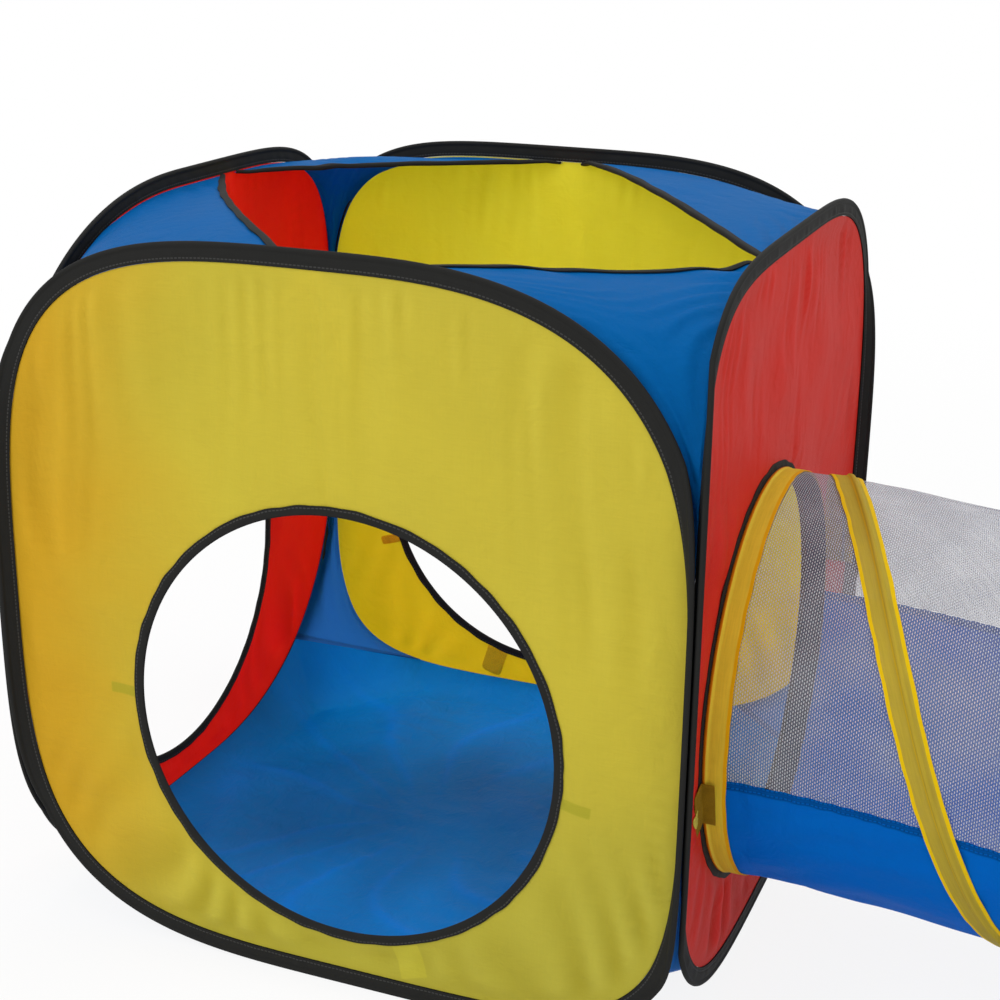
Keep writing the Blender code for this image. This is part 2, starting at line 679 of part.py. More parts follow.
def tie_strap(name, turn, body):
    """A strap sewn on the near ring's casing that lies on the panel's tab."""
    inner = SKIN_MIDDLE + RING_BULB + GAP
    outer = inner + STRAP_THICKNESS
    back = HALF + FABRIC / 2 + GAP + TAB_THICKNESS + GAP
    front = back + STRAP_THICKNESS
    section = [
        (TUNNEL_START + STRAP_SEWN, inner), (TUNNEL_START + STRAP_SEWN, outer),
        (front, outer), (front, outer + STRAP_LENGTH), (back, outer + STRAP_LENGTH), (back, inner),
    ]
    rings = []
    for side in (-STRAP_WIDTH / 2, STRAP_WIDTH / 2):
        ring = []
        for x, radius in section:
            y = TUNNEL_Y - radius * math.sin(turn) - side * math.cos(turn)
            z = TUNNEL_OPENING_HEIGHT + radius * math.cos(turn) - side * math.sin(turn)
            ring.append(Vector((x, y, z)))
        rings.append(ring)
    add_piece(name, loft(rings, False), "dark_hook_and_loop", body)


def build():
    clear_scene()
    bodies = {
        "front": None,
        "right": body_empty("right_panel_hinge", CLOSING_HINGE),
        "left": body_empty("left_panel_hinge", -OPENING_HINGE),
        "back": body_empty("back_panel_hinge", OPENING_HINGE),
    }
    for panel in PANELS:
        panel_skin(panel, bodies[panel])
        hoop_sleeve(panel, bodies[panel])
        hoop_wire(panel, bodies[panel])
        opening_binding(panel, bodies[panel])
        panel_tabs(panel, bodies[panel])
    foot_tab("front", bodies["front"])
    foot_tab("back", bodies["back"])
    for first, second in NEIGHBOURS:
        owner = bodies["back" if "back" in (first, second) else "front"]
        roof_gusset(first, second, owner)
        floor_gusset(first, second, owner)
    floor_sheet(bodies["front"])
    near = body_empty("tunnel_near_end", Vector((TUNNEL_START, TUNNEL_Y, TUNNEL_OPENING_HEIGHT)))
    far = body_empty("tunnel_far_end", Vector((TUNNEL_END, TUNNEL_Y, tunnel_height(TUNNEL_END))))
    end_ring("tunnel_near", TUNNEL_START, 1, near)
    end_ring("tunnel_far", TUNNEL_END, -1, far)
    coil(near)
    tunnel_cloth("tunnel_lower_fabric", HEM_NEAR, HEM_FAR, "blue_fabric", near)
    tunnel_cloth("tunnel_upper_net", HEM_FAR, HEM_NEAR + 2 * math.pi, "netting", near)
    below_three, below_nine = PANELS["right"]["tabs"]
    tie_strap("tie_strap_near_side", math.radians(90 + below_nine), near)
    tie_strap("tie_strap_far_side", math.radians(270 - below_three), near)
    print(f"least gap between the spiral's turns: {least_coil_gap() * 1000:.1f} mm")


build()
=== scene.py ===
"""Dresses a pop-up play tent with a crawl tunnel: cloth, tapes, netting, stitching, light and camera."""

import math

import bmesh
import bpy
import numpy as np
from bpy.props import FloatProperty, FloatVectorProperty, IntProperty, PointerProperty
from mathutils import Matrix, Vector


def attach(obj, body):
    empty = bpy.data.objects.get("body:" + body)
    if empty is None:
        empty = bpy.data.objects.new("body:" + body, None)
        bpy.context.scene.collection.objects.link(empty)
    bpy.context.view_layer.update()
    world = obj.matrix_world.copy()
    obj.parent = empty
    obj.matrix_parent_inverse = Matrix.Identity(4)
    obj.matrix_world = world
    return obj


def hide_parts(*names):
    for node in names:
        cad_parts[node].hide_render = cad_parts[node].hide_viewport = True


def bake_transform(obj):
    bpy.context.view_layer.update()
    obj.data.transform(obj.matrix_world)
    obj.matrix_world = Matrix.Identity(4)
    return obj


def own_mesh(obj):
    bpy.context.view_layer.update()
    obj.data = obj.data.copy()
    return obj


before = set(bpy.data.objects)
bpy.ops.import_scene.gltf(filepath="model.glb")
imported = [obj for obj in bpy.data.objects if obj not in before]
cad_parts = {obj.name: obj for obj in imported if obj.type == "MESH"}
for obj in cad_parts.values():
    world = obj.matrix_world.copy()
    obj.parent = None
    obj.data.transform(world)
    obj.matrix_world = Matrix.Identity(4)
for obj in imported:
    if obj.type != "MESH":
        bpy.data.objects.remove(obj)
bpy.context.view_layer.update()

bl_info = {
    "name": "Pop-up Play Tent",
    "version": (1, 0, 0),
    "blender": (4, 5, 0),
    "location": "3D View > Sidebar > Play Tent",
    "description": "Makes the cloth, tapes and netting of a pop-up play tent",
    "category": "Object",
}

# The frame's own sizes, in metres
SIDE, HEIGHT = 0.730, 0.730
SLEEVE = 0.020
FABRIC = 0.0010
TAPE = 0.0008
WIRE = 0.0030
OPENING_RADIUS, OPENING_HEIGHT = 0.227, 0.289
TUNNEL_OPENING_RADIUS, TUNNEL_OPENING_HEIGHT = 0.205, 0.315
BINDING = 0.010
FLOOR_CORNER_CUT = 0.130
GUSSET_SETBACK = 0.0008
GUSSET_START = 0.005
TIP, TIP_ROWS = 0.02, 7    # share and rows of a corner sheet's narrow tip, which closes the upright seam
ROOF_TAPE = 0.006
ROOF_END_GAP = 0.012
TUNNEL_LENGTH = 1.200
RING_TAPE = 0.024
COIL_TAPE = 0.028
COIL_TURNS, COIL_RAMP, COIL_TURN = 2.375, 0.25, math.radians(285)
TUNNEL_DROP_LENGTH = 0.90
STRAP_WIDTH, STRAP_SEWN, STRAP_LENGTH, STRAP_THICKNESS = 0.050, 0.014, 0.022, 0.0012
COIL_START = 0.004
HEM_NEAR, HEM_FAR = math.radians(97), math.radians(274)
GAP = 0.0003
SLOT = FABRIC / 2 + 0.0003
LEG = SLOT + TAPE
FIN_TURN, FIN_UNWIND = math.radians(52), 0.030
FRONT_RIGHT_LEAN = math.radians(22)   # the frame stops at 16 degrees, the photo shows more
TAB_LENGTH, TAB_WIDTH, TAB_THICKNESS = 0.030, 0.012, 0.0012
FOOT_TAB_WIDTH, FOOT_TAB_SWING = 0.030, math.radians(17)

HALF, HALF_HEIGHT = SIDE / 2, HEIGHT / 2
MIDDLE = SLEEVE + HALF_HEIGHT
SEAM_WIDE = HALF - math.sqrt(2) * (LEG + GAP)
HOLE = WIRE / 2 + 0.0006
BULB = HOLE + TAPE
WIRE_REACH = SLEEVE - BULB
TAB_START = BINDING - TAPE
STANDOFF = FABRIC + 2 * GAP
TUNNEL_START = HALF + LEG + GAP
TUNNEL_END = TUNNEL_START + TUNNEL_LENGTH
TUNNEL_RADIUS = TUNNEL_OPENING_RADIUS + 0.005
SKIN_MIDDLE = TUNNEL_RADIUS - FABRIC / 2
COIL_FLOOR = TUNNEL_RADIUS + GAP
COIL_CROWN = COIL_FLOOR + WIRE + 0.0003 + TAPE
NET_START = TUNNEL_START + RING_TAPE + GAP
NET_END = TUNNEL_END - RING_TAPE - GAP
TUCK = 0.003    # how far the tunnel's walls reach into the tapes of its rings

# Each panel: quarter turns from the front, how square its hoop stands at each corner (from the top right),
# how far its opening and the roof's corner lie from its middle, and how far its tabs sit below level
PANELS = {
    "front": dict(turn=0, corners=(2.95, 3.65, 3.45, 5.0), opening=0.011, roof=-0.011, tabs=(7, 0)),
    "right": dict(turn=1, corners=(3.65, 5.6, 3.9, 3.7), opening=-0.105, roof=-0.150, tabs=(15, 15)),
    "back": dict(turn=2, corners=(4.8, 3.3, 3.7, 5.5), opening=0.042, roof=0.020, tabs=(20, 7)),
    "left": dict(turn=3, corners=(2.4, 5.6, 2.3, 3.85), opening=0.060, roof=-0.100, tabs=(0, 0)),
}
NEIGHBOURS = (("front", "right"), ("right", "back"), ("back", "left"), ("left", "front"))
TUNNEL_Y = PANELS["right"]["opening"]

# Steps of the dressed pieces' meshes
ROUND_STEPS = 480
SKIN_ROWS = 30
BULB_STEPS = 11
EDGE_STEPS = 160
FLOOR_STEPS = 150
ROOF_STEPS = (96, 110)
FOOT_STEPS = (64, 72)
WALL_STEPS = (260, 110)

# Walls of the dressed cloth, which are thinner than the frame's, and how far a panel reaches into its sleeve
CLOTH_WALL, TUNNEL_WALL = 0.0006, 0.0004
IN_SLEEVE = 0.0006


def dye(name, description, default):
    return FloatVectorProperty(
        name=name, description=description, subtype="COLOR", size=3, min=0, max=1, default=default)


def distance(name, description, default, least, most):
    return FloatProperty(
        name=name, description=description, subtype="DISTANCE", unit="LENGTH", min=least, max=most, default=default)


class TentColours(bpy.types.PropertyGroup):
    yellow: dye("Yellow cloth", "Front and back panels", (0.68, 0.58, 0.055))
    red: dye("Red cloth", "Left and right panels", (0.72, 0.034, 0.020))
    blue: dye("Blue cloth", "Floor, corners and the tunnel's lower half", (0.0012, 0.155, 0.46))
    black: dye("Black tape", "Hoop sleeves, opening bindings and roof edges", (0.016, 0.016, 0.015))
    spiral: dye("Yellow tape", "Spiral and ring casings", (0.64, 0.49, 0.050))
    net: dye("Netting", "Upper half of the tunnel", (0.67, 0.68, 0.73))


class TentCloth(bpy.types.PropertyGroup):
    wrinkle: FloatProperty(
        name="Wrinkle depth", description="Depth of the folds in the upright panels, 1 as photographed",
        subtype="FACTOR", min=0, max=2, default=1)
    roof_sag: distance("Roof sag", "How far the roof's corners hang at their middle", 0.010, 0, 0.03)
    floor_fold: distance("Floor folds", "Height of the folds in the floor sheet", 0.008, 0, 0.02)
    pucker: distance("Tape pucker", "Depth of the gathers in the sewn tapes", 0.0007, 0, 0.002)
    mesh_pitch: distance("Net pitch", "From one column of the netting's loops to the next", 0.0022, 0.001, 0.01)
    stitch: distance("Stitch length", "From one stitch to the next", 0.0042, 0.001, 0.01)
    turns_steps: IntProperty(
        name="Spiral steps", description="Mesh steps in one turn of the spiral", min=48, max=240, default=144)


# Shapes

def smooth(low, high, value):
    share = np.clip((value - low) / (high - low), 0, 1)
    return share * share * (3 - 2 * share)


def inside(share, rim):
    """1 within a span from 0 to 1, easing to 0 over the rim at both of its ends."""
    return smooth(0, rim, share) * smooth(0, rim, 1 - share)


def wave(place, pitch, phase=0.0):
    """A sine along the place, with this distance from crest to crest."""
    return np.sin(2 * math.pi * place / pitch + phase)


def unit(vectors):
    return vectors / np.maximum(np.linalg.norm(vectors, axis=-1, keepdims=True), 1e-12)


def drift(x, y, seed, size, count=6):
    """Slow random hills between about -1 and 1, with this distance from one to the next. A y of 0 gives them along
    a line."""
    rng = np.random.default_rng(seed)
    total = 0.0
    for _ in range(count):
        turn, phase = rng.uniform(0, 2 * math.pi, 2)
        pace = 2 * math.pi / (size * rng.uniform(0.7, 1.5))
        total = total + np.sin(pace * (x * math.cos(turn) + y * math.sin(turn)) + phase)
    return total / math.sqrt(count)


def to_world(panel, u, v, w):
    """Points of a panel: u to the right as seen from outside, v up from its middle, w outwards."""
    angle = math.radians(90) * PANELS[panel]["turn"]
    x, y = u, -(HALF + w)
    return np.stack(np.broadcast_arrays(
        x * math.cos(angle) - y * math.sin(angle),
        x * math.sin(angle) + y * math.cos(angle),
        MIDDLE + v), axis=-1)


def corner_of(panel, right, upper):
    """How square the hoop is in the quarter where each point lies."""
    top_right, top_left, low_left, low_right = PANELS[panel]["corners"]
    return np.where(right, np.where(upper, top_right, low_right), np.where(upper, top_left, low_left))


def seam(panel, angle):
    """The panel's seam in this direction from its middle: points (u, v) and their outward directions."""
    c, s = np.cos(angle), np.sin(angle)
    square = corner_of(panel, c >= 0, s >= 0)
    reach = (np.abs(c) ** square + np.abs(s) ** square) ** (-1 / square)
    cu, sv = reach * c, reach * s
    out_u = np.sign(c) * np.abs(cu) ** (square - 1) / SEAM_WIDE
    out_v = np.sign(s) * np.abs(sv) ** (square - 1) / HALF_HEIGHT
    length = np.hypot(out_u, out_v)
    return SEAM_WIDE * cu, HALF_HEIGHT * sv, out_u / length, out_v / length


def angle_at(panel, u, upper):
    """The direction of the seam's point at this u on the panel's upper or lower edge."""
    square = float(corner_of(panel, u >= 0, upper))
    share = abs(u) / SEAM_WIDE
    rise = (1 - share ** square) ** (1 / square)
    return math.atan2(rise if upper else -rise, math.copysign(share, u))


def side_angle(panel, right, upper, rise):
    square = float(corner_of(panel, right, upper))
    share = rise / HALF_HEIGHT
    reach = (1 - share ** square) ** (1 / square)
    return math.atan2(share if upper else -share, reach if right else -reach)


def opening_of(panel):
    """The middle of the panel's opening (u, v) and its cut edge's radius: the tunnel's ring draws its one in."""
    u = PANELS[panel]["opening"]
    if panel == "right":
        return u, TUNNEL_OPENING_HEIGHT - MIDDLE, TUNNEL_OPENING_RADIUS
    return u, OPENING_HEIGHT - MIDDLE, OPENING_RADIUS


def fin_turn(panel, u):
    """How far the sleeve turns out of its panel's plane, from how near its seam is to the corner."""
    fully = FIN_TURN
    if panel == "front":
        fully = fully + FRONT_RIGHT_LEAN * (u > 0)
    if panel == "right":
        fully = fully - FRONT_RIGHT_LEAN * (u < 0)
    return fully * np.clip(1 - (SEAM_WIDE - np.abs(u)) / FIN_UNWIND, 0, 1)


def sleeve_points(panel, angle, reach, side):
    """Points of the sleeve: reach outwards from the seam, side across its thickness."""
    u, v, out_u, out_v = seam(panel, angle)
    turn = fin_turn(panel, u)
    along = reach * np.cos(turn) - side * np.sin(turn)
    outwards = reach * np.sin(turn) + side * np.cos(turn)
    return to_world(panel, u + out_u * along, v + out_v * along, outwards)


def folds(panel, u, v):
    """How far the panel's cloth stands out of its plane in its folds, and how deep in a fold it lies, which sets the
    painted shade and painted highlight of its folds.
    """
    cloth = bpy.context.scene.tent_cloth
    seed = 10 * PANELS[panel]["turn"]
    square = corner_of(panel, u >= 0, v >= 0)
    fill = (np.abs(u / SEAM_WIDE) ** square + np.abs(v / HALF_HEIGHT) ** square) ** (1 / square)
    from_seam = (1 - fill) * SEAM_WIDE
    middle_u, middle_v, radius = opening_of(panel)
    hu, hv = u - middle_u, v - middle_v
    from_opening = np.hypot(hu, hv) - radius
    spoke = np.arctan2(hv, hu)
    # The slow bow of the whole cloth, how far folds wander sideways and the patches where they are deeper
    bow = 0.0034 * drift(u, v, seed + 1, 0.30) + 0.0014 * drift(u, v, seed + 2, 0.11)
    wander = 0.012 * drift(u, v, seed + 3, 0.16)
    patch = smooth(-0.4, 1.0, drift(u, v, seed + 4, 0.17))
    # Folds that hang below the opening
    below = smooth(-0.02, -0.16, hv)
    hanging = 0.0022 * wave(u * (1 + 0.25 * hv / radius) + wander, 0.041) * below * (0.4 + patch)
    # Tight gathers and broader drapes under the sleeve at the top
    from_top = np.maximum(from_seam, 0) + 0.6 * np.maximum(-hv, 0)
    tight = smooth(-0.8, 1.2, drift(u, 0.15 * v, seed + 8, 0.07)) * smooth(-0.9, 0.7, drift(u, v, seed + 9, 0.12))
    gathers = 0.0021 * wave(u * (1 + 0.25 * v) + 0.45 * wander, 0.0225) * tight * np.exp(
        -from_top / 0.075) * smooth(-0.05, 0.10, v)
    drapes = 0.0026 * wave(u + wander, 0.052) * patch * np.exp(-from_top / 0.10) * smooth(0.02, 0.12, hv)
    # Crinkles beside the upright seams, and rays round the opening
    sides = np.exp(-(SEAM_WIDE - np.abs(u)) / 0.045)
    crinkles = 0.0010 * wave(v + 0.6 * wander, 0.0145) * sides * (0.3 + 1.2 * patch)
    rays = 0.0012 * np.sin(30 * spoke + 2.5 * drift(u, v, seed + 6, 0.2)) * np.exp(-np.abs(from_opening) / 0.030)
    # Flat at the seams, at the opening and in a thin line at the top's middle, where two corners' curves meet
    closing = 1 - (v > 0) * np.exp(-(u / 0.006) ** 2)
    fade = closing * smooth(0.001, 0.024, from_seam) * smooth(0.006, 0.034, from_opening)
    fine = hanging + gathers + drapes + crinkles + rays * patch
    # How strongly the painted shade in each fold's valley and the painted highlight on its crest show
    toned = 0.8 * hanging + gathers + 0.5 * drapes + 0.4 * crinkles
    return cloth.wrinkle * fade * (bow + fine), np.clip(-cloth.wrinkle * fade * toned / 0.0018, -1, 1)


def run_length(points):
    """How far along a run of points each one lies."""
    steps = np.linalg.norm(np.diff(points, axis=0), axis=1)
    return np.concatenate([[0.0], np.cumsum(steps)])


def add_mesh(name, points, faces, corners, material, fold=None):
    """One object from points, faces, the flat place (in metres) of every face's corners, and how deep in a
    fold every point lies."""
    mesh = bpy.data.meshes.new(name)
    mesh.from_pydata(points.reshape(-1, 3).tolist(), [], [list(map(int, face)) for face in faces])
    flat = mesh.uv_layers.new(name="cut")
    flat.data.foreach_set("uv", np.asarray(corners, dtype=np.float32).reshape(-1))
    if fold is not None:
        depth = mesh.attributes.new("fold", "FLOAT", "POINT")
        depth.data.foreach_set("value", np.asarray(fold, dtype=np.float32).reshape(-1))
    shape = bmesh.new()
    shape.from_mesh(mesh)
    bmesh.ops.recalc_face_normals(shape, faces=shape.faces)
    shape.to_mesh(mesh)
    shape.free()
    mesh.shade_smooth()
    mesh.set_sharp_from_angle(angle=math.radians(50))
    mesh.materials.append(material)
    piece = bpy.data.objects.new(name, mesh)
    bpy.context.scene.collection.objects.link(piece)
    return piece


def quads(rows, columns, wrap_rows, wrap_columns, stride):
    """Corner indices of a grid's quads, and the same without wrapping for the flat places."""
    i, j = np.meshgrid(
        np.arange(rows if wrap_rows else rows - 1),
        np.arange(columns if wrap_columns else columns - 1), indexing="ij")
    i, j = i.ravel(), j.ravel()
    ring = [(i, j), (i + 1, j), (i + 1, j + 1), (i, j + 1)]
    faces = np.stack([(a % rows) * columns + b % columns for a, b in ring], axis=1)
    flat = np.stack([a * stride + b for a, b in ring], axis=1)
    return faces, flat


def swept(name, rings, along, across, material, closed=True):
    """A tape or wire: the same closed section at every station. An open run gets a cap at each end."""
    rows, columns = rings.shape[:2]
    flat = np.stack(np.meshgrid(along, across, indexing="ij"), axis=-1).reshape(-1, 2)
    faces, corners = quads(rows, columns, closed, True, columns + 1)
    faces, corners = faces.tolist(), flat[corners.reshape(-1)].tolist()
    if not closed:
        for row in (0, rows - 1):
            faces.append([row * columns + j for j in range(columns)])
            corners += [[along[row], across[j]] for j in range(columns)]
    return add_mesh(name, rings, faces, corners, material)


def cloth_sheet(name, grid, flat, material, ring=False, thickness=CLOTH_WALL, fold=None):
    """A sheet of cloth from a grid of points, with its wall laid to both sides of them."""
    rows, columns = grid.shape[:2]
    if ring:
        along = np.roll(grid, -1, axis=0) - np.roll(grid, 1, axis=0)
    else:
        along = np.gradient(grid, axis=0)
    normal = unit(np.cross(along, np.gradient(grid, axis=1)))
    both = np.concatenate([grid + normal * thickness / 2, grid - normal * thickness / 2])
    faces, corners = quads(rows, columns, ring, False, columns)
    other = faces[:, ::-1] + rows * columns
    places = flat.reshape(-1, 2)
    all_faces = [faces, other]
    all_corners = [places[corners.reshape(-1)], places[corners[:, ::-1].reshape(-1)]]
    edges = []
    steps = np.arange(rows if ring else rows - 1)
    for column in (0, columns - 1):
        edges.append((steps, steps + 1, column, column))
    if not ring:
        across = np.arange(columns - 1)
        for row in (0, rows - 1):
            edges.append((row, row, across, across + 1))
    for i0, i1, j0, j1 in edges:
        a = np.broadcast_to((i0 % rows) * columns + j0, np.shape(i1 + j1))
        b = (i1 % rows) * columns + j1
        flat_a, flat_b = i0 * columns + j0 + 0 * (i1 + j1), i1 * columns + j1
        all_faces.append(np.stack([a, b, b + rows * columns, a + rows * columns], axis=1))
        all_corners.append(places[np.stack([flat_a, flat_b, flat_b, flat_a], axis=1).reshape(-1)])
    if fold is not None:
        fold = np.concatenate([fold, fold])
    return add_mesh(name, both, np.concatenate(all_faces), np.concatenate(all_corners), material, fold)


# Finishes

def feed(tree, inputs, values):
    """Puts each value on the input of that name or number: a socket is linked, anything else is set."""
    for key, value in values.items():
        if isinstance(value, bpy.types.NodeSocket):
            tree.links.new(value, inputs[key])
        else:
            inputs[key].default_value = value


def node(tree, kind, values=None, **settings):
    """One shader node with its settings and inputs."""
    made = tree.nodes.new(kind)
    for name, value in settings.items():
        setattr(made, name, value)
    feed(tree, made.inputs, values or {})
    return made


def maths(tree, operation, *values):
    return node(tree, "ShaderNodeMath", dict(enumerate(values)), operation=operation).outputs[0]


def times(tree, *values):
    product, *others = values
    for value in others:
        product = maths(tree, "MULTIPLY", product, value)
    return product


def plus(tree, *values):
    total, *others = values
    for value in others:
        total = maths(tree, "ADD", total, value)
    return total


def off(tree, value, middle):
    """How far a value is from this middle."""
    return maths(tree, "ABSOLUTE", maths(tree, "SUBTRACT", value, middle))


def swing(tree, noise, amount):
    """Noise between 0 and 1, turned to swing round 0."""
    return times(tree, maths(tree, "SUBTRACT", noise, 0.5), amount)


def vector(tree, operation, *values, output=0):
    return node(tree, "ShaderNodeVectorMath", dict(enumerate(values)), operation=operation).outputs[output]


def split(tree, place):
    return node(tree, "ShaderNodeSeparateXYZ", {0: place}).outputs


def remap(tree, value, low, high, to_low, to_high, kind="SMOOTHSTEP"):
    values = {"Value": value, "From Min": low, "From Max": high, "To Min": to_low, "To Max": to_high}
    return node(tree, "ShaderNodeMapRange", values, interpolation_type=kind).outputs["Result"]


def stretched_noise(tree, place, stretch, detail=2.0, rough=0.5, warp=0.0):
    """Noise that is drawn out by different amounts along and across the cloth."""
    turned = node(tree, "ShaderNodeMapping", {"Vector": place, "Scale": stretch})
    values = {"Vector": turned.outputs[0], "Scale": 1.0, "Detail": detail, "Roughness": rough, "Distortion": warp}
    return node(tree, "ShaderNodeTexNoise", values).outputs["Fac"]


def blended(tree, share, first, second, kind="MIX"):
    return node(tree, "ShaderNodeMix", {0: share, 6: first, 7: second}, data_type="RGBA", blend_type=kind).outputs[2]


def tinted(tree, colour, shade):
    """The colour made lighter or darker by a value round 1."""
    grey = node(tree, "ShaderNodeCombineColor", {"Red": shade, "Green": shade, "Blue": shade})
    return blended(tree, 1.0, colour, grey.outputs[0], "MULTIPLY")


def add_sockets(tree, side, sockets):
    """Sockets of a group: each is "Vector" or "Color", or a number with this default."""
    for socket, kind in sockets.items():
        named = isinstance(kind, str)
        made = tree.interface.new_socket(
            socket, in_out=side, socket_type=f"NodeSocket{kind if named else 'Float'}")
        if not named:
            made.default_value = kind


def shader_group(inputs, outputs):
    """Makes a function that gives the sockets of a group into one that puts that group into a tree. The group
    itself is made once, at the first call, and takes its name from the function."""
    def wrap(fill):
        def grouped(tree, **values):
            group = bpy.data.node_groups.get(fill.__name__)
            if not group:
                group = bpy.data.node_groups.new(fill.__name__, "ShaderNodeTree")
                add_sockets(group, "INPUT", inputs)
                add_sockets(group, "OUTPUT", outputs)
                have, give = group.nodes.new("NodeGroupInput"), group.nodes.new("NodeGroupOutput")
                feed(group, give.inputs, fill(group, have.outputs))
            made = tree.nodes.new("ShaderNodeGroup")
            made.node_tree = group
            feed(tree, made.inputs, {key.replace("_", " "): value for key, value in values.items()})
            return made.outputs
        return grouped
    return wrap


@shader_group(
    {"Place": "Vector", "Colour": "Color", "Yarn Pitch": 0.0011, "Streaks": 0.10, "Mottle": 0.14, "Crinkle": 0.5,
     "Roughness": 0.5},
    {"Colour": "Color", "Roughness": 0.0, "Height": 0.0})
def woven_cloth(tree, have):
    """Fine plain weave: its colour, how rough it is and its relief."""
    place = have["Place"]
    broad = stretched_noise(tree, place, (7, 5, 7), 2.0)
    streak = stretched_noise(tree, place, (34, 620, 34), 3.0, 0.6)
    warp = stretched_noise(tree, place, (520, 22, 22), 2.0)
    crumple = stretched_noise(tree, place, (38, 30, 38), 3.0, 0.55, 0.6)
    shade = plus(tree, 1.0, swing(tree, broad, have["Mottle"]), swing(tree, streak, have["Streaks"]),
                 swing(tree, warp, 0.05))
    x, y, _ = split(tree, place)
    pace = maths(tree, "DIVIDE", 2 * math.pi, have["Yarn Pitch"])
    yarns = times(tree, *(maths(tree, "SINE", times(tree, way, pace)) for way in (x, y)), 0.05)
    crinkled = times(tree, crumple, have["Crinkle"], 4.0)
    return {
        "Colour": tinted(tree, have["Colour"], shade),
        "Roughness": plus(tree, have["Roughness"], swing(tree, broad, 0.22)),
        "Height": plus(tree, yarns, times(tree, streak, 0.25), times(tree, warp, 0.12), crinkled)}


@shader_group(
    {"Place": "Vector", "Across": 0.003, "Pitch": 0.0042, "Width": 0.0011}, {"Thread": 0.0, "Height": 0.0})
def stitch_row(tree, have):
    """One row of lock stitches along the tape: where the thread shows and how it dents the cloth."""
    x, y, _ = split(tree, have["Place"])
    near = maths(tree, "DIVIDE", off(tree, y, have["Across"]), have["Width"])
    step = maths(tree, "FRACT", maths(tree, "DIVIDE", x, have["Pitch"]))
    dash = remap(tree, off(tree, step, 0.5), 0.27, 0.40, 1.0, 0.0)
    thread = times(tree, remap(tree, near, 0.35, 0.75, 1.0, 0.0), dash)
    ditch = remap(tree, near, 0.4, 3.0, -1.0, 0.0)
    return {"Thread": thread, "Height": plus(tree, ditch, times(tree, thread, 1.2))}


@shader_group(
    {"Place": "Vector", "Middle": "Vector", "Along": "Vector", "Across": "Vector", "Half Length": 0.02,
     "Half Width": 0.006},
    {"Mask": 0.0})
def strip(tree, have):
    """1 inside a strip of this length and width round its middle, with soft edges."""
    away = vector(tree, "SUBTRACT", have["Place"], have["Middle"])
    masks = []
    for way, half in (("Along", "Half Length"), ("Across", "Half Width")):
        reach = maths(tree, "ABSOLUTE", vector(tree, "DOT_PRODUCT", away, have[way], output="Value"))
        masks.append(remap(tree, maths(tree, "SUBTRACT", reach, have[half]), -0.0012, 0.0008, 1.0, 0.0))
    return {"Mask": times(tree, *masks)}


@shader_group(
    {"Place": "Vector", "Way": "Vector", "Low": 0.0, "High": 0.1, "Most": 1.0, "Stray": 0.0}, {"Mask": 0.0})
def rising(tree, have):
    """A mask that grows along a direction of the flat cloth, from low to high, and strays a little."""
    reach = vector(tree, "DOT_PRODUCT", have["Place"], have["Way"], output="Value")
    noise = stretched_noise(tree, have["Place"], (6, 6, 6), 2.0)
    strayed = plus(tree, reach, swing(tree, noise, have["Stray"]))
    return {"Mask": remap(tree, strayed, have["Low"], have["High"], 0.0, have["Most"])}


@shader_group({"Colour": "Color"}, {"Colour": "Color"})
def painted_fold_shade(tree, have):
    """Painted shade and painted highlight: the cloth's colour made darker and deeper where a fold turns it away from
    the light, and lighter where it turns towards it.
    """
    depth = node(tree, "ShaderNodeAttribute", attribute_name="fold").outputs["Fac"]
    into_fold = remap(tree, depth, -1.0, 1.0, 0.0, 1.0, "LINEAR")
    tone = blended(tree, into_fold, (1.11, 1.13, 1.30, 1), (0.89, 0.87, 0.70, 1))
    return {"Colour": blended(tree, 1.0, have["Colour"], tone, "MULTIPLY")}


def start_finish(name):
    """A material with its Principled shader, and the flat place of the cloth that it is drawn on."""
    made = bpy.data.materials.new(name)
    made.use_nodes = True
    tree = made.node_tree
    place = node(tree, "ShaderNodeUVMap", uv_map="cut").outputs["UV"]
    return made, tree, tree.nodes["Principled BSDF"], place


def relief(tree, height, depth):
    return node(tree, "ShaderNodeBump", {"Height": height, "Distance": depth, "Strength": 1.0}).outputs[0]


def let_light_through(tree, shader, colour, normal, share):
    """Mixes in the light that comes through the cloth from its other side."""
    through = node(tree, "ShaderNodeBsdfTranslucent", {"Color": colour, "Normal": normal})
    mix = node(tree, "ShaderNodeMixShader", {0: share, 1: shader.outputs[0], 2: through.outputs[0]})
    tree.links.new(mix.outputs[0], tree.nodes["Material Output"].inputs["Surface"])


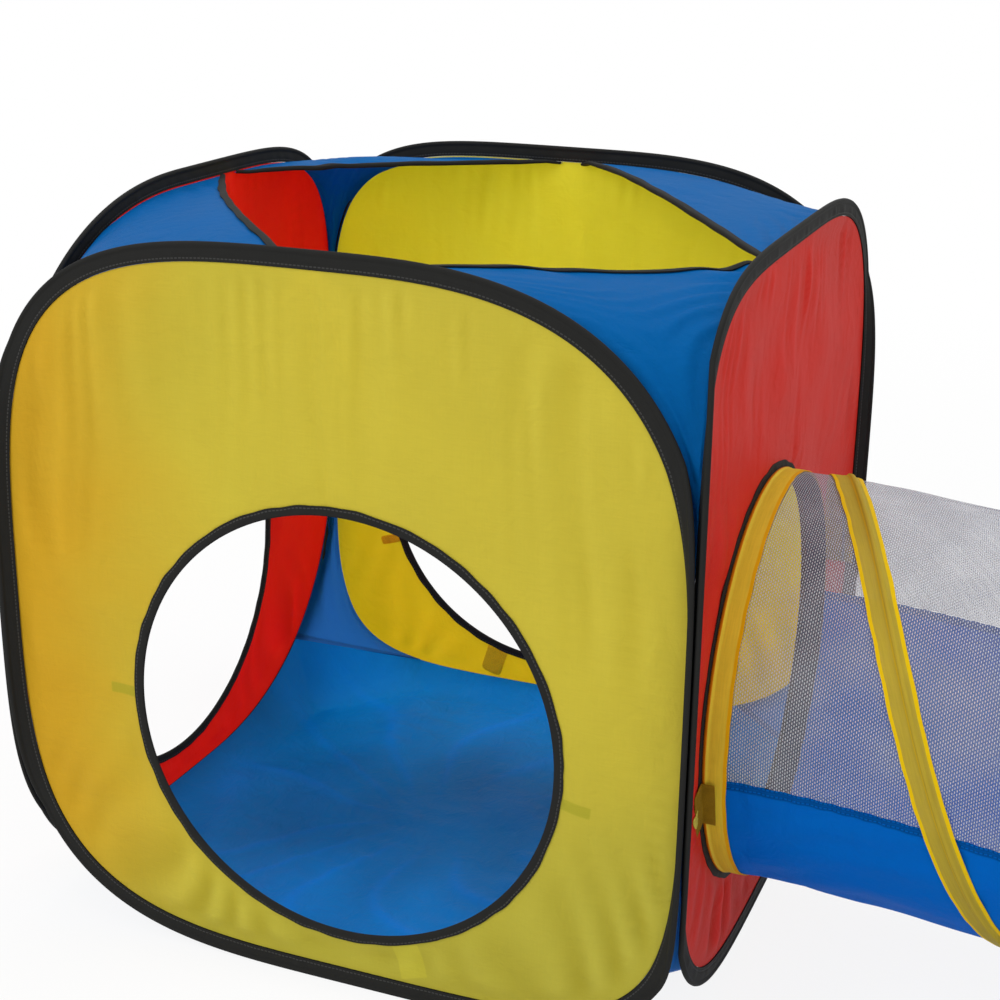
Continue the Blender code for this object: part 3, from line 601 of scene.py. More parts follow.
def taffeta(name, colour, glow, through=0.30, rough=0.55, crinkle=0.7, mottle=0.14, gloss=0.12, changes=(), rows=()):
    """Thin dyed taffeta. Glow is the colour of the light that has passed through it, changes are masks with
    the colour that the cloth takes there, and rows are the places of its stitch lines."""
    made, tree, shader, place = start_finish(name)
    colour_now = (*colour, 1)
    for mask, there in changes:
        colour_now = blended(tree, mask(tree, place), colour_now, (*there, 1))
    # Painted shade in the folds' valleys and painted highlight on their crests
    toned = painted_fold_shade(tree, Colour=colour_now)["Colour"]
    weave = woven_cloth(tree, Place=place, Colour=toned, Roughness=rough, Crinkle=crinkle, Mottle=mottle)
    colour_now, height = weave["Colour"], weave["Height"]
    for across in rows:
        pitch = bpy.context.scene.tent_cloth.stitch
        stitches = stitch_row(tree, Place=place, Across=across, Pitch=pitch, Width=0.0016)
        # Painted shade in the dent along each stitch row
        ditch = remap(tree, stitches["Height"], -1.0, 0.0, 0.75, 0.0)
        colour_now = blended(tree, ditch, colour_now, tuple(0.35 * c for c in colour) + (1,))
        height = plus(tree, height, times(tree, stitches["Height"], 0.8))
    normal = relief(tree, height, 0.0009)
    feed(tree, shader.inputs, {
        "Base Color": colour_now, "Roughness": weave["Roughness"], "Specular IOR Level": gloss, "Normal": normal})
    let_light_through(tree, shader, blended(tree, 0.6, colour_now, (*glow, 1)), normal, through)
    return made


def slope(way_u, way_v, low, high, most=1.0, stray=0.16):
    """A mask that grows along this direction of the flat cloth, from low to high."""
    def mask(tree, place):
        return rising(tree, Place=place, Way=(way_u, way_v, 0), Low=low, High=high, Most=most, Stray=stray)["Mask"]
    return mask


def painted_tab_shading(panel, direction, length, width, most):
    """A mask for the painted shading where a tab on the panel's inner side shows through the cloth."""
    middle_u, middle_v, radius = opening_of(panel)
    reach = radius + TAB_START + length / 2
    c, s = math.cos(direction), math.sin(direction)

    def mask(tree, place):
        tab = strip(
            tree, Place=place, Middle=(middle_u + reach * c, middle_v + reach * s, 0), Along=(c, s, 0),
            Across=(-s, c, 0), Half_Length=length / 2, Half_Width=width / 2)
        return times(tree, tab["Mask"], most)
    return mask


def foot_tab_length():
    down = (OPENING_HEIGHT - SLEEVE) / math.cos(FOOT_TAB_SWING)
    return down - FOOT_TAB_WIDTH / 2 * math.tan(FOOT_TAB_SWING) - 0.002 - OPENING_RADIUS - TAB_START


def panel_changes(panel):
    """How a yellow panel's colour runs over its height and, in a painted orange glow, towards the front's left, and
    the painted shading of its tabs as they show through it.
    """
    three, nine = (math.radians(below) for below in PANELS[panel]["tabs"])
    # Painted shadow where the side tabs hold back the light that comes through the cloth, and a painted lighter patch
    # where the foot tab shows through
    side_tab_shadow, foot_tab = (0.45, 0.43, 0.025), (0.74, 0.68, 0.06)
    tabs = (
        (painted_tab_shading(panel, -three, TAB_LENGTH, TAB_WIDTH, 0.6), side_tab_shadow),
        (painted_tab_shading(panel, math.pi + nine, TAB_LENGTH, TAB_WIDTH, 0.6), side_tab_shadow),
        (painted_tab_shading(panel, FOOT_TAB_SWING - math.pi / 2, foot_tab_length(), FOOT_TAB_WIDTH, 0.5), foot_tab))
    if panel == "back":
        return ((slope(0.0, -1.0, -0.05, 0.34, 0.8), (0.95, 0.58, 0.020)), *tabs)
    return (
        # Painted glow: orange towards the left, from the light that comes through from the red panel behind
        (slope(-1.0, 0.0, 0.10, 0.36, 0.85), (0.72, 0.40, 0.014)),
        (slope(0.35, -1.0, 0.12, 0.36, 0.8), (0.52, 0.48, 0.055)),
        *tabs)


def tape(name, colour, bands, rows, ribs, rough, specular, thread=0.05, through=0.0, clear=0.0):
    """Woven tape with its ribs and stitch rows. Bands are (from, to, colour) across it, rows the places of its
    stitch lines, and clear is how much is seen through it between its bands."""
    made, tree, shader, place = start_finish(name)
    weave = woven_cloth(
        tree, Place=place, Colour=(*colour, 1), Roughness=rough, Yarn_Pitch=ribs, Streaks=0.30, Mottle=0.30,
        Crinkle=0.25)
    across = split(tree, place)[1]
    colour_now, height, solid = weave["Colour"], weave["Height"], 0.0
    soft = 0.0004
    for low, high, band in bands:
        mask = times(tree, remap(tree, across, low - soft, low + soft, 0.0, 1.0),
                     remap(tree, across, high - soft, high + soft, 1.0, 0.0))
        colour_now = blended(tree, mask, colour_now, (*band, 1))
        solid = maths(tree, "MAXIMUM", solid, mask)
    for row in rows:
        pitch = bpy.context.scene.tent_cloth.stitch
        stitches = stitch_row(tree, Place=place, Across=row, Pitch=pitch, Width=0.0011)
        lighter = tuple(min(1.0, 1.3 * c + thread) for c in colour)
        colour_now = blended(tree, stitches["Thread"], colour_now, (*lighter, 1))
        height = plus(tree, height, times(tree, stitches["Height"], 0.5))
    normal = relief(tree, height, 0.0005)
    feed(tree, shader.inputs, {
        "Base Color": colour_now, "Roughness": weave["Roughness"], "Specular IOR Level": specular, "Normal": normal})
    if clear:
        feed(tree, shader.inputs, {"Alpha": remap(tree, solid, 0.0, 1.0, 1 - clear, 1.0)})
    if through:
        let_light_through(tree, shader, colour_now, normal, through)
    return made


def netting(name, colour, pitch):
    """Knitted net: columns of upright white loops, each column half a loop off the next, over a thin ground."""
    made, tree, shader, place = start_finish(name)
    x, y, _ = split(tree, place)
    column = maths(tree, "DIVIDE", x, pitch)
    row = plus(tree, maths(tree, "DIVIDE", y, pitch * 1.7), times(tree, maths(tree, "FLOOR", column), 0.5))
    loops = times(tree, *(
        remap(tree, off(tree, maths(tree, "FRACT", cell), 0.5), inner, outer, 1.0, 0.0)
        for cell, inner, outer in ((column, 0.12, 0.27), (row, 0.20, 0.36))))
    veil = stretched_noise(tree, place, (11, 11, 11), 3.0)
    ground = tuple(0.5 * c for c in colour) + (1,)
    weave = woven_cloth(
        tree, Place=place, Colour=blended(tree, loops, ground, (*colour, 1)), Roughness=0.75, Crinkle=0.4,
        Streaks=0.0)
    feed(tree, shader.inputs, {
        "Base Color": weave["Colour"], "Roughness": weave["Roughness"],
        "Alpha": plus(tree, remap(tree, veil, 0.3, 0.7, 0.14, 0.27), times(tree, loops, 0.45)),
        "Normal": relief(tree, plus(tree, weave["Height"], loops), 0.0004)})
    return made


def fuzzy_tab(name, colour, dark):
    """Hook-and-loop tape: short loops with a pressed edge."""
    made, tree, shader, place = start_finish(name)
    loops = stretched_noise(tree, place, (900, 900, 900), 4.0, 0.7)
    worn = stretched_noise(tree, place, (80, 80, 80), 2.0)
    shade = plus(tree, remap(tree, loops, 0.3, 0.7, 0.72, 1.18), times(tree, worn, 0.2))
    bald = remap(tree, worn, 0.45, 0.75, 0.0, 0.5)
    feed(tree, shader.inputs, {
        "Base Color": blended(tree, bald, tinted(tree, (*colour, 1), shade), (*dark, 1)),
        "Roughness": remap(tree, worn, 0.3, 0.7, 0.78, 0.95), "Specular IOR Level": 0.1,
        "Normal": relief(tree, loops, 0.0008)})
    return made


def drawn_steel(name):
    """Flat spring steel, drawn and lightly oiled."""
    made, tree, shader, place = start_finish(name)
    lines = stretched_noise(tree, place, (60, 4000, 60), 2.0)
    stains = stretched_noise(tree, place, (30, 90, 30), 3.0)
    feed(tree, shader.inputs, {
        "Base Color": tinted(tree, (0.50, 0.50, 0.52, 1), remap(tree, stains, 0.3, 0.7, 0.8, 1.1)),
        "Roughness": remap(tree, lines, 0.3, 0.7, 0.28, 0.42), "Metallic": 1.0,
        "Normal": relief(tree, lines, 0.00005)})
    return made


def finish(name):
    """The finish of that name, made the first time it is asked for."""
    found = bpy.data.materials.get(name)
    if found:
        return found
    colours, cloth = bpy.context.scene.tent_colours, bpy.context.scene.tent_cloth
    hem, far_hem = SKIN_MIDDLE * HEM_NEAR, SKIN_MIDDLE * HEM_FAR
    hem_rows = (hem + 0.0016, hem + 0.0072, far_hem - 0.0016, far_hem - 0.0072)
    orange = (0.88, 0.62, 0.003)
    makers = {
        "front_taffeta": lambda: taffeta(name, colours.yellow, (0.75, 0.55, 0.02), changes=panel_changes("front")),
        # Painted light: the back and left panels are the same yellow and red cloth as the front and right ones,
        # painted lighter for the light that comes through them from behind
        "back_taffeta": lambda: taffeta(
            name, (0.80, 0.72, 0.09), (1.0, 1.0, 0.08), 0.60, changes=panel_changes("back")),
        "red_taffeta": lambda: taffeta(name, colours.red, (0.90, 0.02, 0.01), 0.35),
        "left_taffeta": lambda: taffeta(name, (0.80, 0.045, 0.022), (1.0, 0.050, 0.025), 0.60),
        "blue_taffeta": lambda: taffeta(name, colours.blue, (0.002, 0.24, 0.75), 0.40, 0.5, gloss=0.04),
        "tunnel_taffeta": lambda: taffeta(
            name, (0.001, 0.195, 0.60), (0.0, 0.36, 1.0), 0.50, 0.5, gloss=0.03, rows=hem_rows),
        "corner_taffeta": lambda: taffeta(
            name, (0.004, 0.17, 0.46), (0.30, 0.60, 1.0), 0.70, 0.5, gloss=0.04, rows=(-0.0095,),
            changes=((slope(0.0, 1.0, -0.0115, -0.0105, 0.8, 0.0), (0.002, 0.05, 0.20)),)),
        "floor_taffeta": lambda: taffeta(
            name, (0.001, 0.145, 0.46), (0.003, 0.25, 0.75), 0.15, 0.42, 1.0, 0.60, 0.08, changes=(
                # Painted light: lighter towards the back and the front, which leaves a painted shadow across the
                # middle
                (slope(0.0, 1.0, 0.06, 0.28, 0.8), (0.001, 0.32, 0.98)),
                (slope(0.0, -1.0, 0.08, 0.26, 0.7), (0.001, 0.26, 0.85)))),
        "black_sleeve": lambda: tape(name, colours.black, (), (0.0042,), 0.0016, 0.75, 0.10, 0.03),
        "black_binding": lambda: tape(name, colours.black, (), (0.0075,), 0.0014, 0.75, 0.10, 0.03),
        # Painted light: the ring casing is the spiral's yellow tape, painted lighter to make up for the shade it lies
        # in
        "ring_tape": lambda: tape(
            name, (0.88, 0.66, 0.050), (
                (-0.001, 0.0034, (0.86, 0.48, 0.003)), (0.0205, 0.030, (0.80, 0.22, 0.003)),
                (-0.030, -0.001, (0.012, 0.035, 0.10))),
            (), 0.0018, 0.55, 0.1, through=0.30),
        "spiral_tape": lambda: tape(
            name, colours.spiral, (
                (-0.0230, -0.0172, orange), (0.0062, 0.0120, orange), (-0.0044, -0.0030, (0.66, 0.46, 0.02))),
            (), 0.0018, 0.55, 0.1, through=0.30, clear=0.25),
        "white_net": lambda: netting(name, colours.net, cloth.mesh_pitch),
        "yellow_hook_and_loop": lambda: fuzzy_tab(name, (0.50, 0.42, 0.06), (0.30, 0.26, 0.05)),
        "bright_hook_and_loop": lambda: fuzzy_tab(name, (0.90, 0.56, 0.015), (0.75, 0.42, 0.015)),
        "brown_hook_and_loop": lambda: fuzzy_tab(name, (0.24, 0.135, 0.006), (0.16, 0.09, 0.006)),
        "spring_wire": lambda: drawn_steel(name),
    }
    return makers[name]()


# Pieces

def placed(piece, body, cad_node):
    """The piece rides on its body, if it has just one, and the CAD node that it stands for is hidden."""
    if body:
        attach(piece, body)
    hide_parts(cad_node)


def all_round(steps):
    return np.linspace(0, 2 * math.pi, steps, endpoint=False)


def channel(mouth, reach):
    """A folded tape's section as (reach, side): two legs from its mouth, and a bulb round the wire."""
    outer, inner = [], []
    for run, radius, half, steps in ((outer, BULB, LEG, BULB_STEPS), (inner, HOLE, SLOT, BULB_STEPS - 2)):
        first = math.pi - math.asin(half / radius)
        for angle in np.linspace(first, -first, steps).tolist():
            run.append((reach + radius * math.cos(angle), radius * math.sin(angle)))
    end = outer[0][0]
    up = [(mouth + (end - mouth) * share, LEG) for share in (0.0, 0.12, 0.24, 0.36, 0.5, 0.64, 0.78, 0.9)]
    down = [(a, -b) for a, b in reversed(up)]
    return np.array(up + outer + down + [(mouth, -SLOT)] + inner[::-1] + [(mouth, SLOT)]), len(up)


def puckered(section, legs, along, share, seed, period):
    """The section at every station, with this share of the pucker on the outer faces of its legs."""
    reach, side = (np.broadcast_to(section[:, k], (len(along), len(section))).copy() for k in (0, 1))
    lengths = section[:legs, 0]
    swell = np.sin(math.pi * (lengths - lengths[0]) / (lengths[-1] - lengths[0])) ** 0.8
    puffs = []
    for face in (0, 1):
        gather = 0.55 + 0.45 * wave(along, period, 2.2 * drift(along, 0, seed + face, 0.06))
        gather = gather * (1 + 0.5 * drift(along, 0, seed + 2 + face, 0.03))
        puffs.append(bpy.context.scene.tent_cloth.pucker * share * gather[:, None] * swell)
    other = legs + BULB_STEPS
    side[:, :legs] += puffs[0]
    side[:, other:other + legs] -= puffs[1][:, ::-1]
    return reach, side


def panel_skin(panel):
    steps = all_round(ROUND_STEPS)
    u0, v0, out_u, out_v = seam(panel, steps)
    u0, v0 = u0 + out_u * IN_SLEEVE, v0 + out_v * IN_SLEEVE
    middle_u, middle_v, radius = opening_of(panel)
    hole_u, hole_v = middle_u + radius * np.cos(steps), middle_v + radius * np.sin(steps)
    share = np.linspace(0, 1, SKIN_ROWS)[None, :]
    u = u0[:, None] + (hole_u - u0)[:, None] * share
    v = v0[:, None] + (hole_v - v0)[:, None] * share
    lift, depth = folds(panel, u, v)
    grid = to_world(panel, u, v, lift)
    flat = np.stack([u, v], axis=-1)
    cloth = "red_taffeta" if panel == "right" else f"{panel}_taffeta"
    piece = cloth_sheet(
        f"{panel}_panel_cloth", grid, np.concatenate([flat, flat[:1]]), finish(cloth), ring=True, fold=depth)
    placed(piece, panel, f"{panel}_panel_skin")


def hoop_sleeve(panel):
    steps = all_round(ROUND_STEPS * 3 // 2)
    section, legs = channel(0.0010, WIRE_REACH)
    middle = sleeve_points(panel, steps, SLEEVE / 2, 0.0)
    along = run_length(np.concatenate([middle, middle[:1]]))
    near_corner = np.clip(1 - (SEAM_WIDE - np.abs(seam(panel, steps)[0])) / FIN_UNWIND, 0, 1)
    calm = (1 - 0.85 * near_corner)[:, None]
    reach, side = puckered(section, legs, along[:-1], calm, 40 + PANELS[panel]["turn"], 0.026)
    rings = np.stack([
        sleeve_points(panel, steps, reach[:, j], side[:, j]) for j in range(len(section))], axis=1)
    across = np.append(section[:, 0], section[0, 0])
    piece = swept(f"{panel}_hoop_sleeve_tape", rings, along, across, finish("black_sleeve"))
    placed(piece, panel, f"{panel}_hoop_sleeve")
    turns = all_round(10)
    wire = np.stack([
        sleeve_points(panel, steps, WIRE_REACH + WIRE / 2 * math.cos(turn), WIRE / 2 * math.sin(turn))
        for turn in turns], axis=1)
    piece = swept(f"{panel}_hoop_spring", wire, along, np.linspace(0, 0.0094, 11), finish("spring_wire"))
    placed(piece, panel, f"{panel}_hoop_wire")


def opening_tape(panel):
    """The tape folded over the cut edge of the opening, gathered a little by its sewing."""
    steps = all_round(ROUND_STEPS)
    hu, hv, cut = opening_of(panel)
    edge = cut - GAP
    tip = edge - TAPE
    outer = tip + BINDING + (0.005 if panel == "right" else 0)
    legs = [outer - (outer - tip) * share for share in (0.0, 0.12, 0.3, 0.5, 0.7, 0.88)]
    section = [(r, LEG) for r in legs] + [(tip, LEG * 0.6), (tip - 0.0002, 0), (tip, -LEG * 0.6)]
    section += [(r, -LEG) for r in reversed(legs)]
    section += [(outer, -SLOT), (edge, -SLOT), (edge, SLOT), (outer, SLOT)]
    seed = 60 + 5 * PANELS[panel]["turn"]
    arc = cut * steps
    puffs = drift(arc, 0, seed, 0.022)
    uneven = 0.0005 * drift(arc, 0, seed + 1, 0.035)
    swell = 0.0004 * (1 + puffs)
    columns = []
    for radius, side in section:
        lift = math.sin(math.pi * (radius - tip) / (outer - tip)) if abs(side) >= LEG * 0.99 else 0.0
        r = radius + uneven * (radius - tip) / BINDING
        w = side + math.copysign(1, side) * swell * max(lift, 0)
        columns.append(to_world(panel, hu + r * np.cos(steps), hv + r * np.sin(steps), w))
    along = cut * np.linspace(0, 2 * math.pi, len(steps) + 1)
    across = [radius - tip for radius, side in section] + [outer - tip]
    piece = swept(f"{panel}_opening_tape", np.stack(columns, axis=1), along, across, finish("black_binding"))
    placed(piece, panel, f"{panel}_opening_binding")


def start_strip(name, start, length, width, height, far):
    """A plane along x in edit mode, with the two corners at its far or its near end selected."""
    bpy.ops.object.select_all(action="DESELECT")
    bpy.ops.mesh.primitive_plane_add(size=1, location=(0, 0, 0))
    strip_piece = bpy.context.object
    strip_piece.name = name
    middle = start + length / 2
    bpy.ops.object.mode_set(mode="EDIT")
    bpy.ops.transform.resize(value=(length, width, 1))
    bpy.ops.transform.translate(value=(middle, 0, height))
    bpy.ops.mesh.select_all(action="DESELECT")
    shape = bmesh.from_edit_mesh(strip_piece.data)
    for corner in shape.verts:
        corner.select_set((corner.co.x > middle) == far)
    shape.select_flush(True)
    bmesh.update_edit_mesh(strip_piece.data)
    return strip_piece


def cut_up(*cuts):
    """Cuts what is in edit mode along each axis into this many even steps, so that it can bend."""
    for axis, start, size, count in cuts:
        for i in range(1, count):
            bpy.ops.mesh.select_all(action="SELECT")
            bpy.ops.mesh.bisect(plane_co=[a * (start + size * i / count) for a in axis], plane_no=axis)


def thicken(piece, thickness, edge):
    """Gives a surface its thickness, to both sides, and rounds its edges."""
    wall = piece.modifiers.new("thickness", "SOLIDIFY")
    wall.thickness, wall.offset = thickness, 0.0
    bpy.ops.object.modifier_apply(modifier=wall.name)
    worn = piece.modifiers.new("worn edge", "BEVEL")
    worn.width, worn.segments, worn.limit_method = edge, 2, "ANGLE"
    bpy.ops.object.modifier_apply(modifier=worn.name)


def lay_flat(piece, place_of):
    """Writes the flat place of every face's corners, from a function of the point."""
    flat = piece.data.uv_layers.active
    flat.name = "cut"
    for loop in piece.data.loops:
        flat.data[loop.index].uv = place_of(piece.data.vertices[loop.vertex_index].co)


def turn_outwards():
    bpy.ops.object.mode_set(mode="EDIT")
    bpy.ops.mesh.select_all(action="SELECT")
    bpy.ops.mesh.normals_make_consistent(inside=False)
    bpy.ops.object.mode_set(mode="OBJECT")


def dress(piece, finish_name, sharp=40):
    piece.data.materials.append(finish(finish_name))
    piece.data.shade_smooth()
    piece.data.set_sharp_from_angle(angle=math.radians(sharp))


def flat_strip(name, length, width):
    """A strip from x = 0 to its length with two rounded corners."""
    piece = start_strip(name, 0, length, width, 0, far=True)
    bpy.ops.mesh.bevel(offset=width / 4, segments=4, affect="VERTICES")
    cut_up(((1, 0, 0), 0.0, length, 9), ((0, 1, 0), -width / 2, width, 4))
    bpy.ops.mesh.select_all(action="SELECT")
    bpy.ops.mesh.remove_doubles(threshold=0.00001)
    bpy.ops.object.mode_set(mode="OBJECT")
    thicken(piece, TAB_THICKNESS, TAB_THICKNESS * 0.3)
    lay_flat(piece, lambda point: point.xy)
    return piece


def sewn_tab(panel, name, direction, length, width, cad_node):
    """A strip sewn on the panel's inner side, or outside on the tunnel's panel. It points away from the opening's
    middle and follows the cloth."""
    piece = flat_strip(name, length, width)
    dress(piece, "bright_hook_and_loop" if panel == "back" else "yellow_hook_and_loop")
    stand = FABRIC / 2 + GAP + TAB_THICKNESS / 2
    side = 1 if panel == "right" else -1
    local = np.empty(3 * len(piece.data.vertices))
    piece.data.vertices.foreach_get("co", local)
    local = local.reshape(-1, 3)
    middle_u, middle_v, radius = opening_of(panel)
    reach, across = radius + TAB_START + local[:, 0], local[:, 1]
    u = middle_u + reach * math.cos(direction) - across * math.sin(direction)
    v = middle_v + reach * math.sin(direction) + across * math.cos(direction)
    w = folds(panel, u, v)[0] + side * (stand + local[:, 2])
    piece.data.vertices.foreach_set("co", to_world(panel, u, v, w).reshape(-1))
    turn_outwards()
    placed(piece, panel, cad_node)


def start_of_gusset(first, second, upper):
    """How far above or below the middle two upright seams have parted enough for a gusset to start."""
    low, high = 0.0, HALF_HEIGHT * 0.999
    for _ in range(40):
        rise = (low + high) / 2
        reaches = [
            seam(panel, side_angle(panel, right, upper, rise))[0]
            for panel, right in ((first, True), (second, False))]
        if 2 * SEAM_WIDE - abs(reaches[0]) - abs(reaches[1]) < GUSSET_START:
            low = rise
        else:
            high = rise
    return high


def gusset_edge(panel, angle):
    u, v, out_u, out_v = seam(panel, angle)
    return to_world(panel, u - out_u * GUSSET_SETBACK, v - out_v * GUSSET_SETBACK, -STANDOFF)


def ends_of(first, second, upper):
    if upper:
        return (angle_at(first, PANELS[first]["roof"] + ROOF_END_GAP, True),
                angle_at(second, PANELS[second]["roof"] - ROOF_END_GAP, True))
    reach = HALF - FLOOR_CORNER_CUT
    return angle_at(first, reach, False), angle_at(second, -reach, False)


def corner_points(first, second, upper, down, over):
    """Points of a corner sheet: down is 0 where the upright seam parts, below 0 in the narrow tip that closes
    the seam, and 1 at the free edge, and over goes across."""
    rise = start_of_gusset(first, second, upper)
    first_end, second_end = ends_of(first, second, upper)
    edges = []
    for panel, right, end in ((first, True, first_end), (second, False, second_end)):
        start, middle = side_angle(panel, right, upper, rise), side_angle(panel, right, upper, 0.0)
        edges.append(gusset_edge(panel, start + np.where(down < 0, (start - middle) / TIP, end - start) * down))
    return edges[0] + (edges[1] - edges[0]) * over[..., None]


def corner_rows(rows, columns):
    """Places down and over a corner sheet, the rows of its tip first."""
    down = np.concatenate([np.linspace(-TIP, 0, TIP_ROWS + 1)[:-1], np.linspace(0, 1, rows)])
    return np.meshgrid(down, np.linspace(0, 1, columns), indexing="ij")


# How each roof corner hangs: how far its free edge is drawn in, its wrinkles' depth and where they start,
# and how far it sags (below 0 it stands up)
ROOF_CORNERS = {
    ("front", "right"): dict(drawn=-0.07, ripple=0.0018, from_second=True, sag=0.25),
    ("right", "back"): dict(drawn=0.0, ripple=0.0010, from_second=False, sag=-1.0),
    ("back", "left"): dict(drawn=0.010, ripple=0.0010, from_second=True, sag=-0.25),
    ("left", "front"): dict(drawn=0.060, ripple=0.0005, from_second=False, sag=-1.0),
}


def roof_surface(first, second, down, over):
    """Points of a roof corner as it hangs."""
    cloth = bpy.context.scene.tent_cloth
    manner = ROOF_CORNERS[first, second]
    hang = 4 * over * (1 - over)
    reach = down * (1 - manner["drawn"] * hang)
    flat = corner_points(first, second, True, reach, over)
    step = 0.001
    along = corner_points(first, second, True, reach + step, over) - corner_points(
        first, second, True, reach - step, over)
    across = corner_points(first, second, True, reach, np.ones_like(over)) - corner_points(
        first, second, True, reach, np.zeros_like(over))
    up = unit(np.cross(across, along))
    up = up * np.sign(up[..., 2:3] + 1e-9)
    ends = inside(over, 0.05) * smooth(0, 0.04, down)
    seed = 80 + PANELS[first]["turn"]
    from_seam = (1 - over) if manner["from_second"] else over
    fan = wave(9 * down + 1.2 * drift(over, down, seed, 0.7), 1)
    ripple = manner["ripple"] * fan * np.exp(-from_seam / 0.35) * (1 + 0.6 * drift(over, down, seed + 1, 0.4))
    broad = 0.0035 * drift(over, down, seed + 2, 0.9)
    sag = -cloth.roof_sag * manner["sag"] * hang * np.maximum(down, 0) ** 1.3
    return flat + up * (sag + (ripple + broad) * ends)[..., None]


def keep_joined(piece, first, second):
    """Puts the back-left corner's piece on the back panel's body with a mesh of its own, and bakes every other
    corner's place into its mesh.
    """
    if (first, second) == ("back", "left"):
        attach(piece, "back")
        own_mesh(piece)
    elif (first, second) == ("front", "right"):
        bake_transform(piece)
    elif (first, second) == ("right", "back"):
        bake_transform(piece)
    else:
        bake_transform(piece)


def corner_cloth(where, first, second, grid, over, cloth):
    """A corner sheet. Its flat places run down from its tip, or on the floor from its free edge, where the hem is."""
    runs = [run_length(grid[:, j]) for j in (0, -1)]
    deep = runs[0][:, None] * (1 - over) + runs[1][:, None] * over
    if where == "floor":
        deep = deep - deep.max(axis=0)
    wide = np.linalg.norm(grid[:, -1] - grid[:, 0], axis=1)[:, None]
    flat = np.stack([(over - 0.5) * wide, deep], axis=-1)
    piece = cloth_sheet(f"{where}_corner_{first}_{second}", grid, flat, finish(cloth))
    placed(piece, None, f"{where}_gusset_{first}_{second}")
    keep_joined(piece, first, second)


def roof_corner(first, second):
    down, over = corner_rows(*ROOF_STEPS)
    corner_cloth("roof", first, second, roof_surface(first, second, down, over), over, "blue_taffeta")


def roof_edge(first, second):
    """The tape folded over a roof corner's free edge, a little broader and wavier than it was cut."""
    over = np.linspace(0.006, 0.994, EDGE_STEPS)
    edge = roof_surface(first, second, np.ones_like(over), over)
    before = roof_surface(first, second, np.full_like(over, 0.985), over)
    run = unit(np.gradient(edge, axis=0))
    ahead = edge - before
    ahead = unit(ahead - run * (ahead * run).sum(axis=1, keepdims=True))
    side = np.cross(run, ahead)
    mouth, lip, tip = TAPE + GAP - ROOF_TAPE, GAP, GAP + TAPE
    section = [(mouth, LEG), (mouth * 0.66, LEG * 1.15), (mouth * 0.33, LEG * 1.15), (lip, LEG), (tip, LEG * 0.5),
               (tip + 0.0002, 0), (tip, -LEG * 0.5), (lip, -LEG), (mouth * 0.33, -LEG * 1.15),
               (mouth * 0.66, -LEG * 1.15), (mouth, -LEG),
               (mouth, -SLOT), (lip * 0.5, -SLOT), (lip * 0.5, SLOT), (mouth, SLOT)]
    along = run_length(edge)
    seed = 100 + PANELS[first]["turn"]
    broader = 0.5 * inside(over, 0.12)
    knob = 1 + broader + 0.08 * drift(along, 0, seed, 0.060)
    waver = 0.0007 * drift(along, 0, seed + 1, 0.080)
    rings = np.stack([
        edge + ahead * (a * (1 if a > 0 else knob) + waver)[:, None] + side * (b * knob)[:, None]
        for a, b in ((np.float64(a), b) for a, b in section)], axis=1)
    across = [a - mouth for a, b in section] + [0.0]
    name = f"{first}_{second}"
    piece = swept(f"roof_edge_{name}", rings, along, across, finish("black_binding"), closed=False)
    placed(piece, None, f"roof_edge_tape_{name}")
    keep_joined(piece, first, second)


def floor_corner(first, second):
    """The blue corner below an upright seam, gathered a little where it meets the floor sheet."""
    down, over = corner_rows(*FOOT_STEPS)
    flat_points = corner_points(first, second, False, down * np.where(down > 0, 1.010, 1.0), over)
    along, across = np.gradient(flat_points, axis=0), np.gradient(flat_points, axis=1)
    out = unit(np.cross(along, across))
    seed = 120 + PANELS[first]["turn"]
    calm = inside(over, 0.08) * smooth(0, 0.06, down) * smooth(0, 0.10, 1 - down)
    bulge = 0.0030 * drift(over, down, seed, 0.9) + 0.0012 * drift(over, 0.4 * down, seed + 1, 0.22)
    corner_cloth("floor", first, second, flat_points + out * (bulge * calm)[..., None], over, "corner_taffeta")


def floor_edge():
    """The floor sheet's edge, as one run of points for each side, from corner to corner."""
    reach = HALF - FLOOR_CORNER_CUT
    runs = [
        gusset_edge(panel, np.linspace(angle_at(panel, -reach, False), angle_at(panel, reach, False), EDGE_STEPS))
        for panel in PANELS]
    sides = []
    for i, run in enumerate(runs):
        before, after = runs[i - 1][-1], runs[(i + 1) % len(runs)][0]
        run = np.concatenate([[(before + run[0]) / 2], run, [(after + run[-1]) / 2]])
        lengths = run_length(run)
        even = np.linspace(0, lengths[-1], 400)
        sides.append(np.stack([np.interp(even, lengths, run[:, k]) for k in range(3)], axis=1))
    return sides


